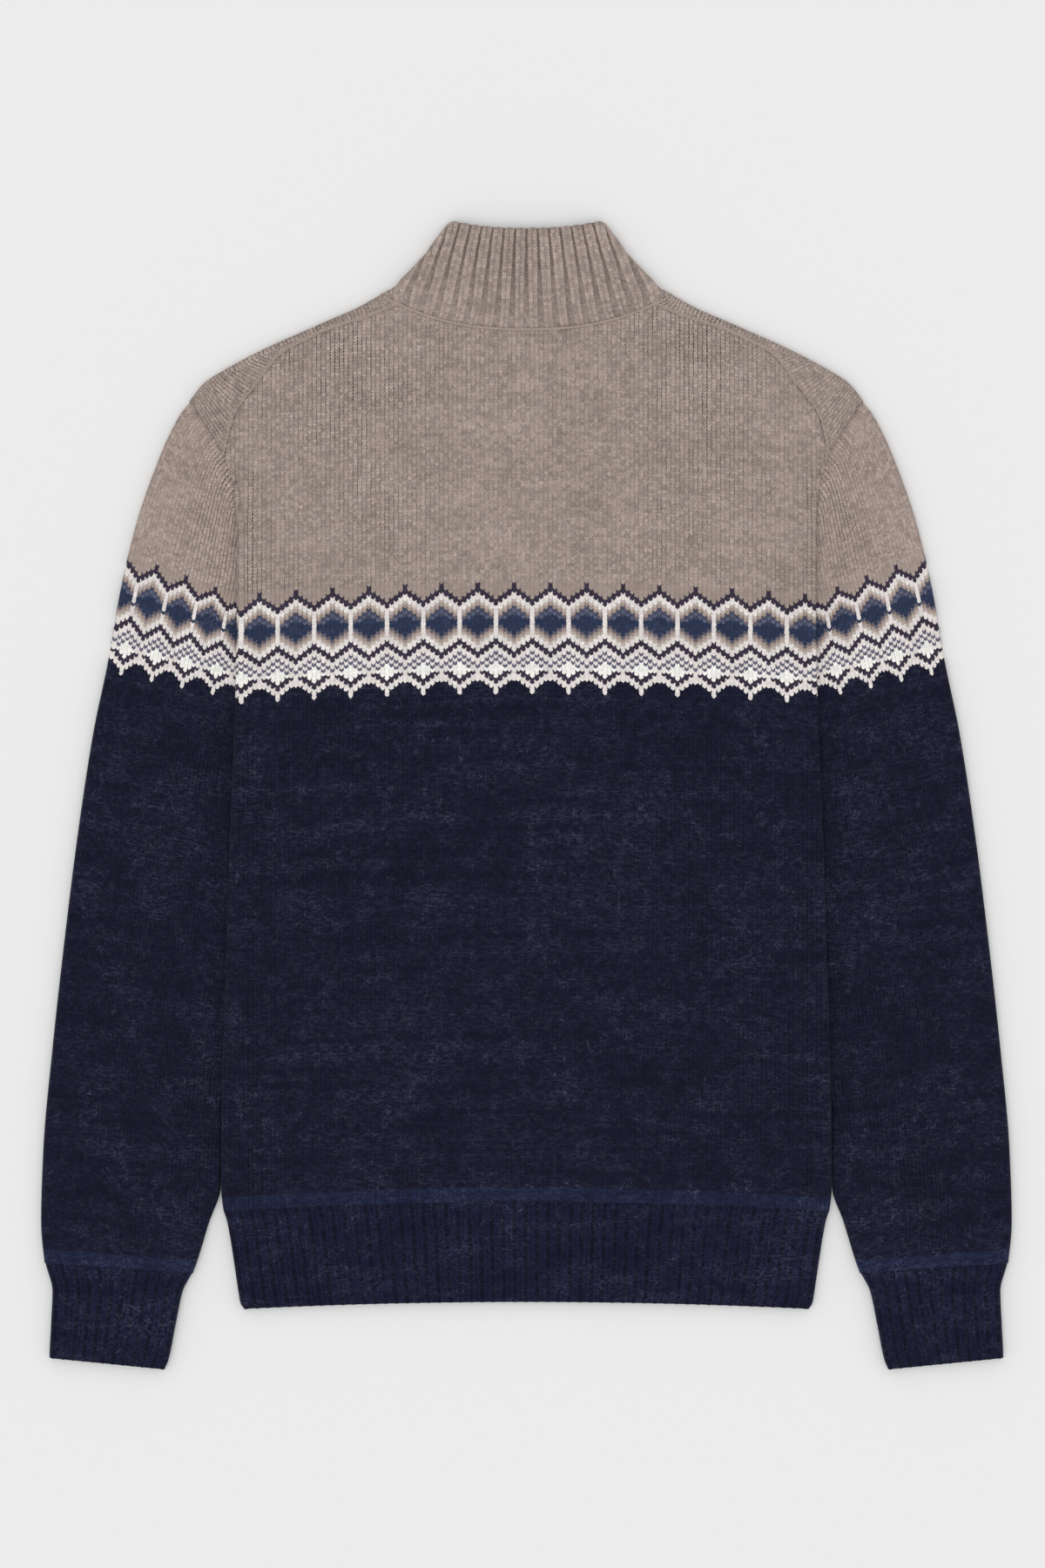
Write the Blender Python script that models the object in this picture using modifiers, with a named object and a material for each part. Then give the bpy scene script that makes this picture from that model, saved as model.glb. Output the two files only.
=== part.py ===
"""A mock neck sweater in flat knit, lying face down with its back up.

Frame: +X is the wearer's right, +Y points to the collar, +Z is up and z = 0 is the surface it lies on.
The sizes below are in millimetres. add_piece turns them to metres.

Layers at the side of the body, from below: the flattened sleeve, the part of the back that is turned under,
and the back itself. The front lies flat in the middle and climbs over the sleeve at its sides. At the shoulders
the front turns over the edge and ends at a seam on the back.
"""

import math

import bmesh
import bpy
import numpy as np

MM = 0.001
SEAM = 0.3                    # gap that is left between two pieces at a seam
NECK_SEAM = 0.7               # the same at the collar, measured along Y

# Driving dimensions
KNIT = 2.2                    # thickness of the plain knit
RIB = 2.6                     # thickness of hem and cuffs
NECK_RIB = 3.6                # the collar's rib is folded double
LAYER_GAP = 0.4               # between a layer and the one that lies on it
RING_LIFT = 0.15              # the sleeves and ribs lie this much higher than the front
LEAST_TURN = 0.48             # the back's edge curls down at least this much, as an angle
SLEEVE_PRESSED = 1.6          # radius of the sleeve's fold where the body lies on it
SLEEVE_LOOSE = 2.6            # and at its free outer edge
SIDE_FOLD = 2.1               # radius of the body's fold
SHOULDER_FOLD = 2.65          # radius of the front's turn over the shoulder
MIDDLE_Z = 6.4                # height of the back over the front, away from the sleeves
HEM_Z = 5.4                   # the same just above the hem rib
RAMP_WIDTH = 60.0             # over which the front and the back climb on the sleeves
HEM_DROP = 6.6                # the sides of the hem seam hang below its middle
HEM_END_DROP = 4.6            # and those of the hem's edge
HEM_SEAM_Y = -279.0
HEM_END_Y = -347.4
NECK_BACK_Y = 321.6           # collar seam at the middle of the back
NECK_FRONT_Y = 262.0          # and of the front
COLLAR_TOP_BACK_Y = 389.6
COLLAR_TOP_FRONT_Y = 342.0
NECK_CURVE = 2.4              # power of the neckline curve
COLLAR_RISE = 2.8             # the free end of the collar's back half stands this much higher
UNDERARM_Y = 45.0
CORNER_Y = 236.4              # here the shoulder seam meets the armhole seam
LIFT_FULL_Y = -222.0          # above this the body lies on the sleeves
LIFT_NONE_Y = -283.0          # below this it lies on the surface
FRONT_DOWN = 50.0             # above the underarm the front comes back to the surface over this
FOOT_FROM_SLEEVE = 3.0        # the climb ends this far inside the sleeve's hidden edge
FOOT_FROM_EDGE = 8.0          # and at least this far inside the body's edge
SWELL_FROM, SWELL_OVER = 2.0, 22.0    # the sleeve comes loose at this distance from the body, over this
LEVEL_FROM_Y, LEVEL_OVER = 175.0, 61.4    # from here up the sleeve rises to the shoulder's level
ROUND_FROM_Y = 150.0          # above this the back's edge follows the sleeve's upper layer
BEND_ROWS = 7.0               # this many rows of the sleeve take up the armhole's bend

# Half outlines of the flat garment
BODY_EDGE = [                 # y, x: the fold at the side of the body
    (-352.0, 198.0), (-340.0, 199.0), (-316.0, 203.0), (-290.0, 207.8), (-270.0, 210.0),
    (-52.0, 204.5), (128.0, 199.0), (173.0, 199.0), (210.0, 200.7), (236.4, 208.5),
]
ARMHOLE = [                   # y, x: sleeve seam from the underarm to the shoulder point
    (45.0, 155.0), (90.0, 157.0), (120.0, 162.0), (150.0, 173.0), (185.0, 195.0),
    (214.0, 203.0), (236.4, 209.7), (271.5, 232.0),
]
SIDE_SEAM = [                 # y, x: seam between the front and the part of the back that is turned under
    (-286.0, 190.0), (-200.0, 178.0), (-100.0, 165.0), (0.0, 158.0), (45.0, 155.0),
]
SLEEVE_OUTER = [              # y, x
    (-394.0, 326.0), (-386.0, 329.0), (-364.0, 328.0), (-340.0, 327.0), (-321.0, 331.5), (-292.0, 334.0),
    (-244.0, 332.5), (-172.0, 326.0), (-100.0, 318.0), (-28.0, 309.0), (44.0, 298.0), (92.0, 288.0),
    (140.0, 279.5), (188.0, 268.0), (236.0, 251.0), (260.0, 239.5), (271.5, 232.0),
]
SLEEVE_INNER = [              # y, x
    (-394.0, 248.0), (-388.0, 245.5), (-364.0, 240.6), (-340.0, 235.5), (-328.0, 229.5), (-292.0, 218.0),
    (-269.0, 211.2), (-222.0, 209.9), (45.0, 155.0),
]
SHOULDER = [                  # seam x, seam y, fold x, fold y: from the neck to the armhole
    (88.5, 338.7, 98.9, 345.6),
    (100.0, 333.9, 105.0, 342.3),
    (112.5, 329.0, 115.5, 336.4),
    (134.7, 322.0, 137.5, 326.8),
    (152.0, 314.2, 155.5, 318.9),
    (169.0, 305.0, 176.0, 309.8),
    (186.0, 284.0, 203.0, 296.0),
    (202.0, 261.6, 222.0, 284.0),
    (208.5, 236.4, 232.0, 271.5),
]
COLLAR_SIDE = [               # x, y: the collar's side, from its seam to its free edge
    (99.2, 346.0), (94.0, 350.0), (80.0, 362.0), (69.6, 374.0), (60.0, 386.0), (53.5, 394.4),
]
BACK_OFF_SLEEVE = [           # y, rise: how far the back's edge lies above the sleeve's upper layer
    (185.0, KNIT + LAYER_GAP + 2 * SIDE_FOLD), (214.0, KNIT + LAYER_GAP), (CORNER_Y, 0.0),
]
SLEEVE_ROWS = [               # inner y, outer y: the ends of each row across the sleeve
    (45.0, 271.5), (43.0, 256.0), (41.0, 236.0), (39.0, 212.0), (36.5, 188.0), (34.0, 160.0), (31.0, 128.0),
    (28.0, 98.0), (22.0, 68.0), (5.0, 40.0), (-25.0, 5.0), (-60.0, -35.0), (-100.0, -80.0), (-145.0, -130.0),
    (-190.0, -180.0), (-222.0, -215.0), (-269.0, -258.0), (-300.0, -290.0), (-327.8, -320.8),
]
CUFF_ROWS = [(-328.4, -321.4), (-341.0, -338.0), (-366.0, -362.0), (-388.0, -380.0), (-394.0, -386.0)]
HEM_ROWS = [                  # part of the way down, half width at the side
    (0.0, 207.6), (0.45, 202.2), (0.85, 198.4), (0.95, 197.2), (1.0, 194.5),
]

BODY_ROWS = [-285.6, -240.0, -190.0, -130.0, -60.0, 0.0] + [y for y, x in ARMHOLE]
NECK_STEPS = [0.0, 0.25, 0.5, 0.7, 0.85, 1.0]    # points of a neckline, 0 in the middle and 1 at the side
FOLD_STEPS = 4
ACROSS_SHOULDER = np.array((0.45, 0.89))    # direction in plan from the back to the front over the shoulder seam

YARNS = {                     # sRGB colour and roughness of each yarn
    "taupe": ((156, 141, 133), 0.95),
    "navy": ((30, 31, 48), 0.9),
}


def along(rows, at):
    """The second column of a table, read between its rows at a value of the first."""
    keys = [row[0] for row in rows]
    values = [row[1] for row in rows]
    return np.interp(at, keys, values)


def ease(t):
    """0 to 1 with soft ends."""
    t = np.clip(t, 0.0, 1.0)
    return t * t * (3.0 - 2.0 * t)


def unit(x, y):
    length = math.hypot(x, y)
    return np.array((x / length, y / length))


# Heights of the middle of each layer

def sleeve_top(x, y):
    """The sleeve's upper layer: pressed under the body's edge, loose beyond it, level with the shoulder on top."""
    pressed = KNIT / 2 + 2 * SLEEVE_PRESSED
    loose = KNIT / 2 + 2 * SLEEVE_LOOSE
    free = ease((x - along(BODY_EDGE, y) - SWELL_FROM) / SWELL_OVER)
    beside_body = pressed + (loose - pressed) * free
    return beside_body + (MIDDLE_Z - beside_body) * ease((y - LEVEL_FROM_Y) / LEVEL_OVER)


def on_sleeve():
    """The height of a body layer that lies on the pressed sleeve."""
    return KNIT / 2 + 2 * SLEEVE_PRESSED + KNIT + LAYER_GAP


def lift(y):
    return ease((y - LIFT_NONE_Y) / (LIFT_FULL_Y - LIFT_NONE_Y))


def climb(x, y):
    """0 in the middle of the body, 1 where it lies on the sleeve."""
    inner_edge = np.where(y > UNDERARM_Y, along(ARMHOLE, y), along(SLEEVE_INNER, y))
    foot = np.minimum(inner_edge - FOOT_FROM_SLEEVE, along(BODY_EDGE, y) - FOOT_FROM_EDGE)
    return ease((np.abs(x) - foot + RAMP_WIDTH) / RAMP_WIDTH)


def under_z(x, y):
    """The body's lower layer where it is above the sleeve or beside it."""
    return KNIT / 2 + (on_sleeve() - KNIT / 2) * lift(y) * climb(x, y)


def front_z(x, y):
    """The front: as above, and back on the surface between the armholes."""
    down = 1.0 - ease((y - UNDERARM_Y) / FRONT_DOWN)
    return KNIT / 2 + (under_z(x, y) - KNIT / 2) * down


def edge_z(y):
    """The back at its side edge."""
    edge = along(BODY_EDGE, y)
    low = under_z(edge, y) + 2 * SIDE_FOLD
    high = sleeve_top(edge, y) + along(BACK_OFF_SLEEVE, y)
    return np.where(y < ROUND_FROM_Y, low, high)


def back_z(x, y):
    middle = HEM_Z + (MIDDLE_Z - HEM_Z) * lift(y)
    return middle + (edge_z(np.minimum(y, CORNER_Y)) - middle) * climb(x, y)


# Outlines worked out from the tables

def fold_turn(y):
    """How far round the side fold the back goes, as an angle."""
    rise = along(BACK_OFF_SLEEVE, y) - KNIT - LAYER_GAP
    return max(LEAST_TURN, math.acos(1.0 - min(max(rise, 0.0), 2 * SIDE_FOLD) / SIDE_FOLD))


def hem_seam_y(x):
    """The seam between the body and the hem rib, at a half width."""
    return HEM_SEAM_Y - HEM_DROP * (x / back_tangent(BODY_ROWS[0])) ** 2


def back_tangent(y):
    """Half width of the back where its side fold begins."""
    reach = (SIDE_FOLD + KNIT / 2) * math.sin(min(fold_turn(y), math.pi / 2))
    return float(along(BODY_EDGE, y)) - reach


def seam_x(y):
    """The seam at the front's side: the side seam, then the armhole."""
    return float(along(ARMHOLE, y)) if y > UNDERARM_Y else float(along(SIDE_SEAM, y))


def collar_fold(part):
    """Radius of the fold at the collar's side, at a part of the way to its free edge."""
    return (collar_top_z(part) - NECK_RIB / 2) / 2


def collar_top_z(part):
    return MIDDLE_Z + COLLAR_RISE * ease(part * 3.0)


def collar_tangent(part):
    """The side of the collar at this part of its height: where the fold begins, and the fold's direction."""
    steps = np.linspace(0.0, 1.0, len(COLLAR_SIDE))
    x, y = (np.interp(part, steps, [row[k] for row in COLLAR_SIDE]) for k in (0, 1))
    outward = unit(COLLAR_SIDE[-1][1] - COLLAR_SIDE[0][1], COLLAR_SIDE[0][0] - COLLAR_SIDE[-1][0])
    return np.array((x, y)) - (collar_fold(part) + NECK_RIB / 2) * outward, outward


def neckline(q, side, middle_y):
    """A point of a neckline: q is 0 at the middle and 1 at the side."""
    return side[0] * q, middle_y + (side[1] - middle_y) * abs(q) ** NECK_CURVE


def shoulder_folds():
    """For each row of SHOULDER, the point where the fold begins and the fold's direction, both in plan."""
    points = np.array([(row[2], row[3]) for row in SHOULDER])
    slopes = np.gradient(points, axis=0)
    folds = []
    for point, slope in zip(points, slopes):
        outward = unit(-slope[1], slope[0])
        folds.append((point - (SHOULDER_FOLD + KNIT / 2) * outward, outward))
    return folds


# Surfaces: each is a grid of points in the middle of the cloth, as rows of columns

def mirrored(half):
    """A whole row from its right half, whose first point is at x = 0."""
    left = [(-x, y, z) for x, y, z in half[:0:-1]]
    return left + list(half)


def back_rows():
    neck_side = collar_tangent(0.0)[0]
    top = []
    for q in NECK_STEPS[:-1]:
        x, y = neckline(q, neck_side, NECK_BACK_Y)
        top.append((x, y - NECK_SEAM))
    inside = -SEAM / 2 * ACROSS_SHOULDER
    top += [(row[0] + inside[0], row[1] + inside[1]) for row in SHOULDER]
    levels = [y for y in BODY_ROWS if y <= CORNER_Y]
    span = levels[-1] - levels[0]
    rows = []
    for level in levels:
        part = (level - levels[0]) / span
        tangent = back_tangent(level)
        row = []
        for x_top, y_top in top:
            f = x_top / top[-1][0]
            x = f * tangent
            y_low = hem_seam_y(f * back_tangent(levels[0])) + SEAM / 2
            y = y_low + part * (y_top - y_low)
            row.append((x, y, float(back_z(x, y))))
        row += turned_under(level, part, row[-1])
        rows.append(mirrored(row))
    return rows


def turned_under(level, part, start):
    """The points of one row of the back round its side fold and under it to the side seam."""
    tangent, y = start[:2]
    turn = fold_turn(level)
    full_turn = turn > math.pi - 0.01
    strip = max(0.0, tangent - seam_x(level) - SEAM / 2) if full_turn else 0.0
    length = turn * SIDE_FOLD + strip
    arc = min(math.pi * SIDE_FOLD, 0.8 * length)
    steps = [arc * (k + 1) / FOLD_STEPS for k in range(FOLD_STEPS)]
    steps += [arc + (length - arc) * k / 2 for k in (1, 2)]
    points = []
    for s in steps:
        if s <= math.pi * SIDE_FOLD + 1e-6:
            x = tangent + SIDE_FOLD * math.sin(s / SIDE_FOLD)
            z = start[2] - SIDE_FOLD * (1.0 - math.cos(s / SIDE_FOLD))
        else:
            x = tangent - (s - math.pi * SIDE_FOLD)
            y = start[1] + (1.0 - part) * (hem_seam_y(x) - hem_seam_y(tangent))
            z = float(under_z(x, y))
        points.append((x, y, z))
    return points


def front_columns():
    """The top end of each column of the front's lower layer, and for a shoulder column its fold and seam too."""
    folds = shoulder_folds()
    side = folds[0][0]
    columns = []
    for q in NECK_STEPS[:-1]:
        x, y = neckline(q, side, NECK_FRONT_Y)
        columns.append(((x, y - SEAM), None, None))
    outside = SEAM / 2 * ACROSS_SHOULDER
    for (point, outward), row in zip(folds, SHOULDER):
        columns.append((tuple(point), outward, np.array(row[:2]) + outside))
    return columns


def front_grid():
    """The front's rows, and for each row the first column that it has, counted from the middle."""
    columns = front_columns()
    right = columns[-1][0][0]
    span = BODY_ROWS[-1] - BODY_ROWS[0]
    rows = []
    for level in BODY_ROWS:
        part = (level - BODY_ROWS[0]) / span
        edge = seam_x(level) - SEAM / 2
        if level == BODY_ROWS[-1]:
            edge = right
        row = []
        for (x_top, y_top), outward, seam in columns:
            f = x_top / right
            y_low = hem_seam_y(f * seam_x(BODY_ROWS[0])) + SEAM / 2
            y = y_low + part * (y_top - y_low)
            if f == 1.0 and 0.0 < part < 1.0:
                y = min(level, y_top)
            x = f * edge
            row.append((x, y, float(front_z(x, y))))
        rows.append(mirrored(row))
    first = len(NECK_STEPS) - 1
    for k in range(1, FOLD_STEPS + 2):
        row = []
        for (x_top, y_top), outward, seam in columns:
            if outward is None:
                row.append((x_top, y_top, 0.0))
                continue
            if k <= FOLD_STEPS:
                turn = math.pi * k / FOLD_STEPS
                x, y = np.array((x_top, y_top)) + SHOULDER_FOLD * math.sin(turn) * outward
                z = KNIT / 2 + SHOULDER_FOLD * (1.0 - math.cos(turn))
            else:
                (x, y), z = seam, MIDDLE_Z
            row.append((x, y, z))
        rows.append(mirrored(row))
    return rows, len(BODY_ROWS) - 1, first


def sleeve_ring(inner_y, outer_y, bend, thickness):
    """One ring of the right sleeve: along the lower layer, round the outer fold, back, round the inner fold.

    bend is 1 where the ring follows the armhole and 0 where it is straight in plan.
    """
    inner = np.array((float(along(SLEEVE_INNER, inner_y)), inner_y))
    outer = np.array((float(along(SLEEVE_OUTER, outer_y)), outer_y))
    way = unit(*(outer - inner))
    low = thickness / 2 + RING_LIFT
    inner_fold = (float(sleeve_top(inner[0], inner[1])) - low) / 2
    outer_fold = (float(sleeve_top(outer[0], outer[1])) - low) / 2
    start = inner + (inner_fold + thickness / 2) * way
    end = outer - (outer_fold + thickness / 2) * way
    height = ARMHOLE[-1][0] - ARMHOLE[0][0]
    lower = []
    for k, (y, x) in enumerate(ARMHOLE):
        q = (y - ARMHOLE[0][0]) / height
        chord_x = ARMHOLE[0][1] + q * (ARMHOLE[-1][1] - ARMHOLE[0][1])
        point = start + q * (end - start)
        if 0 < k < len(ARMHOLE) - 1:
            bent = inner + q * (outer - inner) + np.array((x - chord_x + SEAM / 2, 0.0))
            point = point + bend * (bent - point)
        lower.append((point[0], point[1]))
    ring = [(x, y, low) for x, y in lower]
    ring += half_turn(end, way, outer_fold, low, 1.0)
    ring += [(x, y, float(sleeve_top(x, y))) for x, y in lower[::-1]]
    ring += half_turn(start, -way, inner_fold, low, -1.0)
    return ring


def half_turn(point, outward, radius, low, climbing):
    """The points between the two ends of a fold: from below if climbing is 1, from above if it is -1."""
    points = []
    for k in range(1, FOLD_STEPS):
        turn = math.pi * k / FOLD_STEPS
        x, y = point + radius * math.sin(turn) * outward
        points.append((x, y, low + radius * (1.0 - climbing * math.cos(turn))))
    return points


def sleeve_rows():
    rows = []
    for k, (inner_y, outer_y) in enumerate(SLEEVE_ROWS):
        bend = max(0.0, 1.0 - k / BEND_ROWS)
        rows.append(sleeve_ring(inner_y, outer_y, bend, KNIT))
    return rows


def cuff_rows():
    return [sleeve_ring(inner_y, outer_y, 0.0, RIB) for inner_y, outer_y in CUFF_ROWS]


def hem_rows():
    rows = []
    for part, half_width in HEM_ROWS:
        middle_y = HEM_SEAM_Y - SEAM + part * (HEM_END_Y - HEM_SEAM_Y)
        drop = HEM_DROP + part * (HEM_END_DROP - HEM_DROP)
        tangent = half_width - SIDE_FOLD - RIB / 2
        low = RIB / 2 + RING_LIFT
        flat = [(q * tangent, middle_y - drop * q * q) for q in np.linspace(-1.0, 1.0, 13)]
        right = half_turn(np.array(flat[-1]), np.array((1.0, 0.0)), SIDE_FOLD, low, -1.0)
        left = half_turn(np.array(flat[0]), np.array((-1.0, 0.0)), SIDE_FOLD, low, 1.0)
        ring = [(x, y, low + 2 * SIDE_FOLD) for x, y in flat] + right
        ring += [(x, y, low) for x, y in flat[::-1]] + left
        rows.append(ring)
    return rows


def collar_rows():
    rows = []
    for part in np.linspace(0.0, 1.0, len(COLLAR_SIDE)):
        side, outward = collar_tangent(part)
        back_y = NECK_BACK_Y + part * (COLLAR_TOP_BACK_Y - NECK_BACK_Y)
        front_y = NECK_FRONT_Y + part * (COLLAR_TOP_FRONT_Y - NECK_FRONT_Y)
        radius = collar_fold(part)
        low, high = NECK_RIB / 2, collar_top_z(part)
        steps = [-q for q in NECK_STEPS[:0:-1]] + NECK_STEPS
        ring = [neckline(q, side, back_y) + (high,) for q in steps]
        ring += half_turn(side, outward, radius, low, -1.0)
        ring += [neckline(-q, side, front_y) + (low,) for q in steps]
        left = np.array((-side[0], side[1]))
        ring += half_turn(left, outward * (-1.0, 1.0), radius, low, 1.0)
        rows.append(ring)
    return rows


# Solids

def add_material(name, yarn):
    colour, roughness = YARNS[yarn]
    linear = [((c / 255 + 0.055) / 1.055) ** 2.4 for c in colour]
    material = bpy.data.materials.new(name)
    material.use_nodes = True
    shader = material.node_tree.nodes["Principled BSDF"]
    shader.inputs["Base Color"].default_value = (*linear, 1.0)
    shader.inputs["Roughness"].default_value = roughness
    shader.inputs["Metallic"].default_value = 0.0
    return material


def add_piece(collection, name, rows, thickness, yarn, ring=False, side=1.0, keep=None):
    """A cloth wall: a grid of points in its middle, given its thickness by Solidify.

    A ring's last column meets its first. side is -1 for the left one of a pair. keep says which cells exist.
    """
    shape = bmesh.new()
    points = [[shape.verts.new((side * x * MM, y * MM, z * MM)) for x, y, z in row] for row in rows]
    columns = len(rows[0])
    for r in range(len(rows) - 1):
        for c in range(columns if ring else columns - 1):
            if keep is None or keep(r, c):
                after = (c + 1) % columns
                shape.faces.new((points[r][c], points[r][after], points[r + 1][after], points[r + 1][c]))
    loose = [vertex for vertex in shape.verts if not vertex.link_faces]
    bmesh.ops.delete(shape, geom=loose, context="VERTS")
    bmesh.ops.recalc_face_normals(shape, faces=shape.faces)
    mesh = bpy.data.meshes.new(name)
    shape.to_mesh(mesh)
    shape.free()
    mesh.shade_smooth()
    mesh.materials.append(add_material(name + "_knit", yarn))
    piece = bpy.data.objects.new(name, mesh)
    collection.objects.link(piece)
    wall = piece.modifiers.new("Cloth thickness", "SOLIDIFY")
    wall.thickness = thickness * MM
    wall.offset = 0.0
    wall.use_even_offset = True
    return piece


def build():
    for old in list(bpy.data.objects):
        bpy.data.objects.remove(old, do_unlink=True)
    garment = bpy.data.collections.new("mock_neck_sweater")
    bpy.context.scene.collection.children.link(garment)

    add_piece(garment, "back", back_rows(), KNIT, "taupe")

    rows, last_flat, first = front_grid()
    half = (len(rows[0]) - 1) // 2

    def front_has(r, c):
        nearest = min(abs(c - half), abs(c + 1 - half))
        return r < last_flat or nearest >= first

    add_piece(garment, "front", rows, KNIT, "taupe", keep=front_has)
    add_piece(garment, "collar", collar_rows(), NECK_RIB, "taupe", ring=True)
    add_piece(garment, "hem_rib", hem_rows(), RIB, "navy", ring=True)
    for hand, side in (("right", 1.0), ("left", -1.0)):
        add_piece(garment, "sleeve_" + hand, sleeve_rows(), KNIT, "taupe", ring=True, side=side)
        add_piece(garment, "cuff_" + hand, cuff_rows(), RIB, "navy", ring=True, side=side)


build()
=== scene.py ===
"""The looks of a mock neck sweater that lies flat with its back up: fine cloth, yarns, seams and stage.

Lengths are millimetres until a mesh, a material or the camera needs metres. +Y points to the collar. The
cloth surfaces are the frame's, on a finer grid and with ribs, creases and seams added.
"""

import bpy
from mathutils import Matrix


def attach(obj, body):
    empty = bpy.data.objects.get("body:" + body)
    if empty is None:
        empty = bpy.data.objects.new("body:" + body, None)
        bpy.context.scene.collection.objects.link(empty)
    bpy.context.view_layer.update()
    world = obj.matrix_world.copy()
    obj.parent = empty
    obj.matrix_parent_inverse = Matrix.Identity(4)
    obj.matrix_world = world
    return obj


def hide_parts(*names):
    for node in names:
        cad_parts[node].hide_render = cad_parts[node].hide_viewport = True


bl_info = {
    "name": "Mock neck sweater",
    "version": (1, 0, 0),
    "blender": (4, 5, 0),
    "location": "View3D > Sidebar > Sweater",
    "description": "Knitted sweater with a geometric band, laid flat",
    "category": "Object",
}

import math
from functools import partial
from types import SimpleNamespace

import bmesh
import bpy
import numpy as np
from bpy.props import FloatProperty, FloatVectorProperty, IntProperty, PointerProperty

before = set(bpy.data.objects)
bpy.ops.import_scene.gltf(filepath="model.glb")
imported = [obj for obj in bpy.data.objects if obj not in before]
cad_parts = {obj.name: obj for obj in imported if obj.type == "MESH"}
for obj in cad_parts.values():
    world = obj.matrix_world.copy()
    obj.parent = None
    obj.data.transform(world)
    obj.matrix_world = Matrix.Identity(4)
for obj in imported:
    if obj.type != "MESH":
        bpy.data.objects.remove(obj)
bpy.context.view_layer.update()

MM = 0.001
FLOOR_GAP = 0.2  # the floor lies this far under the cloth
SENSOR = 36  # width of the camera's sensor
LAMP_TILT = math.radians(8)

# Sizes. Most of them are shared with the frame's solids

KNIT = 2.2  # thickness of the plain knit
RIB = 2.6  # of hem and cuffs
RIB_WALL = 1.7  # of their cloth between furrows
NECK_RIB = 3.6  # the collar's rib is folded double
NECK_WALL = 2  # of its cloth between furrows
SEAM = 0.3
SEAM_LAP = 0.4  # how far ribs reach over the cloth they are linked to
LAYER_GAP = 0.4
RING_LIFT = 0.15
LEAST_TURN = 0.48
SLEEVE_PRESSED, SLEEVE_LOOSE = 1.6, 2.6
SIDE_FOLD, SHOULDER_FOLD = 2.1, 2.65
MIDDLE_Z, HEM_Z = 6.4, 5.4
RAMP_WIDTH = 60
HEM_DROP, HEM_END_DROP = 6.6, 4.6
HEM_SEAM_Y, HEM_END_Y = -279, -347.4
NECK_BACK_Y, NECK_FRONT_Y = 321.6, 262
COLLAR_TOP_BACK_Y, COLLAR_TOP_FRONT_Y = 389.6, 342
NECK_CURVE = 2.4
COLLAR_RISE = 2.8
UNDERARM_Y, CORNER_Y = 45, 236.4
LIFT_FULL_Y, LIFT_NONE_Y = -222, -283
FRONT_DOWN = 50
FOOT_FROM_SLEEVE, FOOT_FROM_EDGE = 3, 8
SWELL_FROM, SWELL_OVER = 2, 22
LEVEL_FROM_Y, LEVEL_OVER = 175, 61.4
ROUND_FROM_Y = 150
MIDDLE_HALF = 90  # half the width of the back where no sleeve lies under it
MIDDLE_ROOM, SIDE_ROOM = 2.2, 1  # how far creases may sink there and beside it
RIPPLE, HEM_RIPPLE = 0.35, 0.3
COLLAR_BULGE = 1.2
BACK_LENGTH, FRONT_LENGTH, SLEEVE_LENGTH = 600, 480, 680
SEAM_POINTS, FRONT_SEAM_POINTS, FRONT_NECK_POINTS = 58, 46, 26
SLEEVE_POINTS, COLLAR_POINTS, HEM_POINTS, CUFF_POINTS = 46, 60, 81, 50  # across each layer
HEM_RINGS, CUFF_RINGS = 24, 30
HEM_COURSES, CUFF_COURSES = 30, 29
NECK_LINK_DOWN, LINK_SUNK = 0.8, 0.5
RIB_STITCHES = 4  # stitches of a rib and its furrow
EDGE_RIB_BASE, EDGE_RIB_TOP = 9.6, 7  # ribs from the middle of the back to the collar's side fold
ACROSS_SHOULDER = np.array((0.45, 0.89))

BODY_EDGE = [  # y, x
    (-352, 198), (-340, 199), (-316, 203), (-290, 207.8), (-270, 210),
    (-52, 204.5), (128, 199), (173, 199), (210, 200.7), (236.4, 208.5),
]
ARMHOLE = [  # y, x
    (45, 155), (90, 157), (120, 162), (150, 173), (185, 195),
    (214, 203), (236.4, 209.7), (271.5, 232),
]
SIDE_SEAM = [  # y, x
    (-286, 190), (-200, 178), (-100, 165), (0, 158), (45, 155),
]
SLEEVE_OUTER = [  # y, x
    (-394, 326), (-386, 329), (-364, 328), (-340, 327), (-321, 331.5), (-292, 334),
    (-244, 332.5), (-172, 326), (-100, 318), (-28, 309), (44, 298), (92, 288),
    (140, 279.5), (188, 268), (236, 251), (260, 239.5), (271.5, 232),
]
SLEEVE_INNER = [  # y, x
    (-394, 248), (-388, 245.5), (-364, 240.6), (-340, 235.5), (-328, 229.5), (-292, 218),
    (-269, 210.4), (-222, 209.3), (45, 155),
]
SHOULDER = [  # seam x, seam y, fold x, fold y
    (88.5, 338.7, 98.9, 345.6),
    (100, 333.9, 105, 342.3),
    (112.5, 329, 115.5, 336.4),
    (134.7, 322, 137.5, 326.8),
    (152, 314.2, 155.5, 318.9),
    (169, 305, 176, 309.8),
    (186, 284, 203, 296),
    (202, 261.6, 222, 284),
    (208.5, 236.4, 232, 271.5),
]
COLLAR_PARTS = np.linspace(0, 1, 40) ** 0.85
COLLAR_ROWS = 31
TOP_ROLL, ROLL_FROM = 1.4, 0.94
RIB_LEAN = 0.82  # under 1: the collar's ribs flare out towards its base
COLLAR_SIDE = [  # x, y
    (99.2, 346), (94, 350), (80, 362), (69.6, 374), (60, 386), (53.5, 394.4),
]
BACK_OFF_SLEEVE = [  # y, rise
    (185, KNIT + LAYER_GAP + 2 * SIDE_FOLD), (214, KNIT + LAYER_GAP), (236.4, 0),
]
INTO_ARMHOLE = np.array((-0.947, 0.322))
TUCK, TUCK_FROM_Y = 3.5, 188  # how far the sleeve's upper end reaches under the body's edge, and from where
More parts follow.
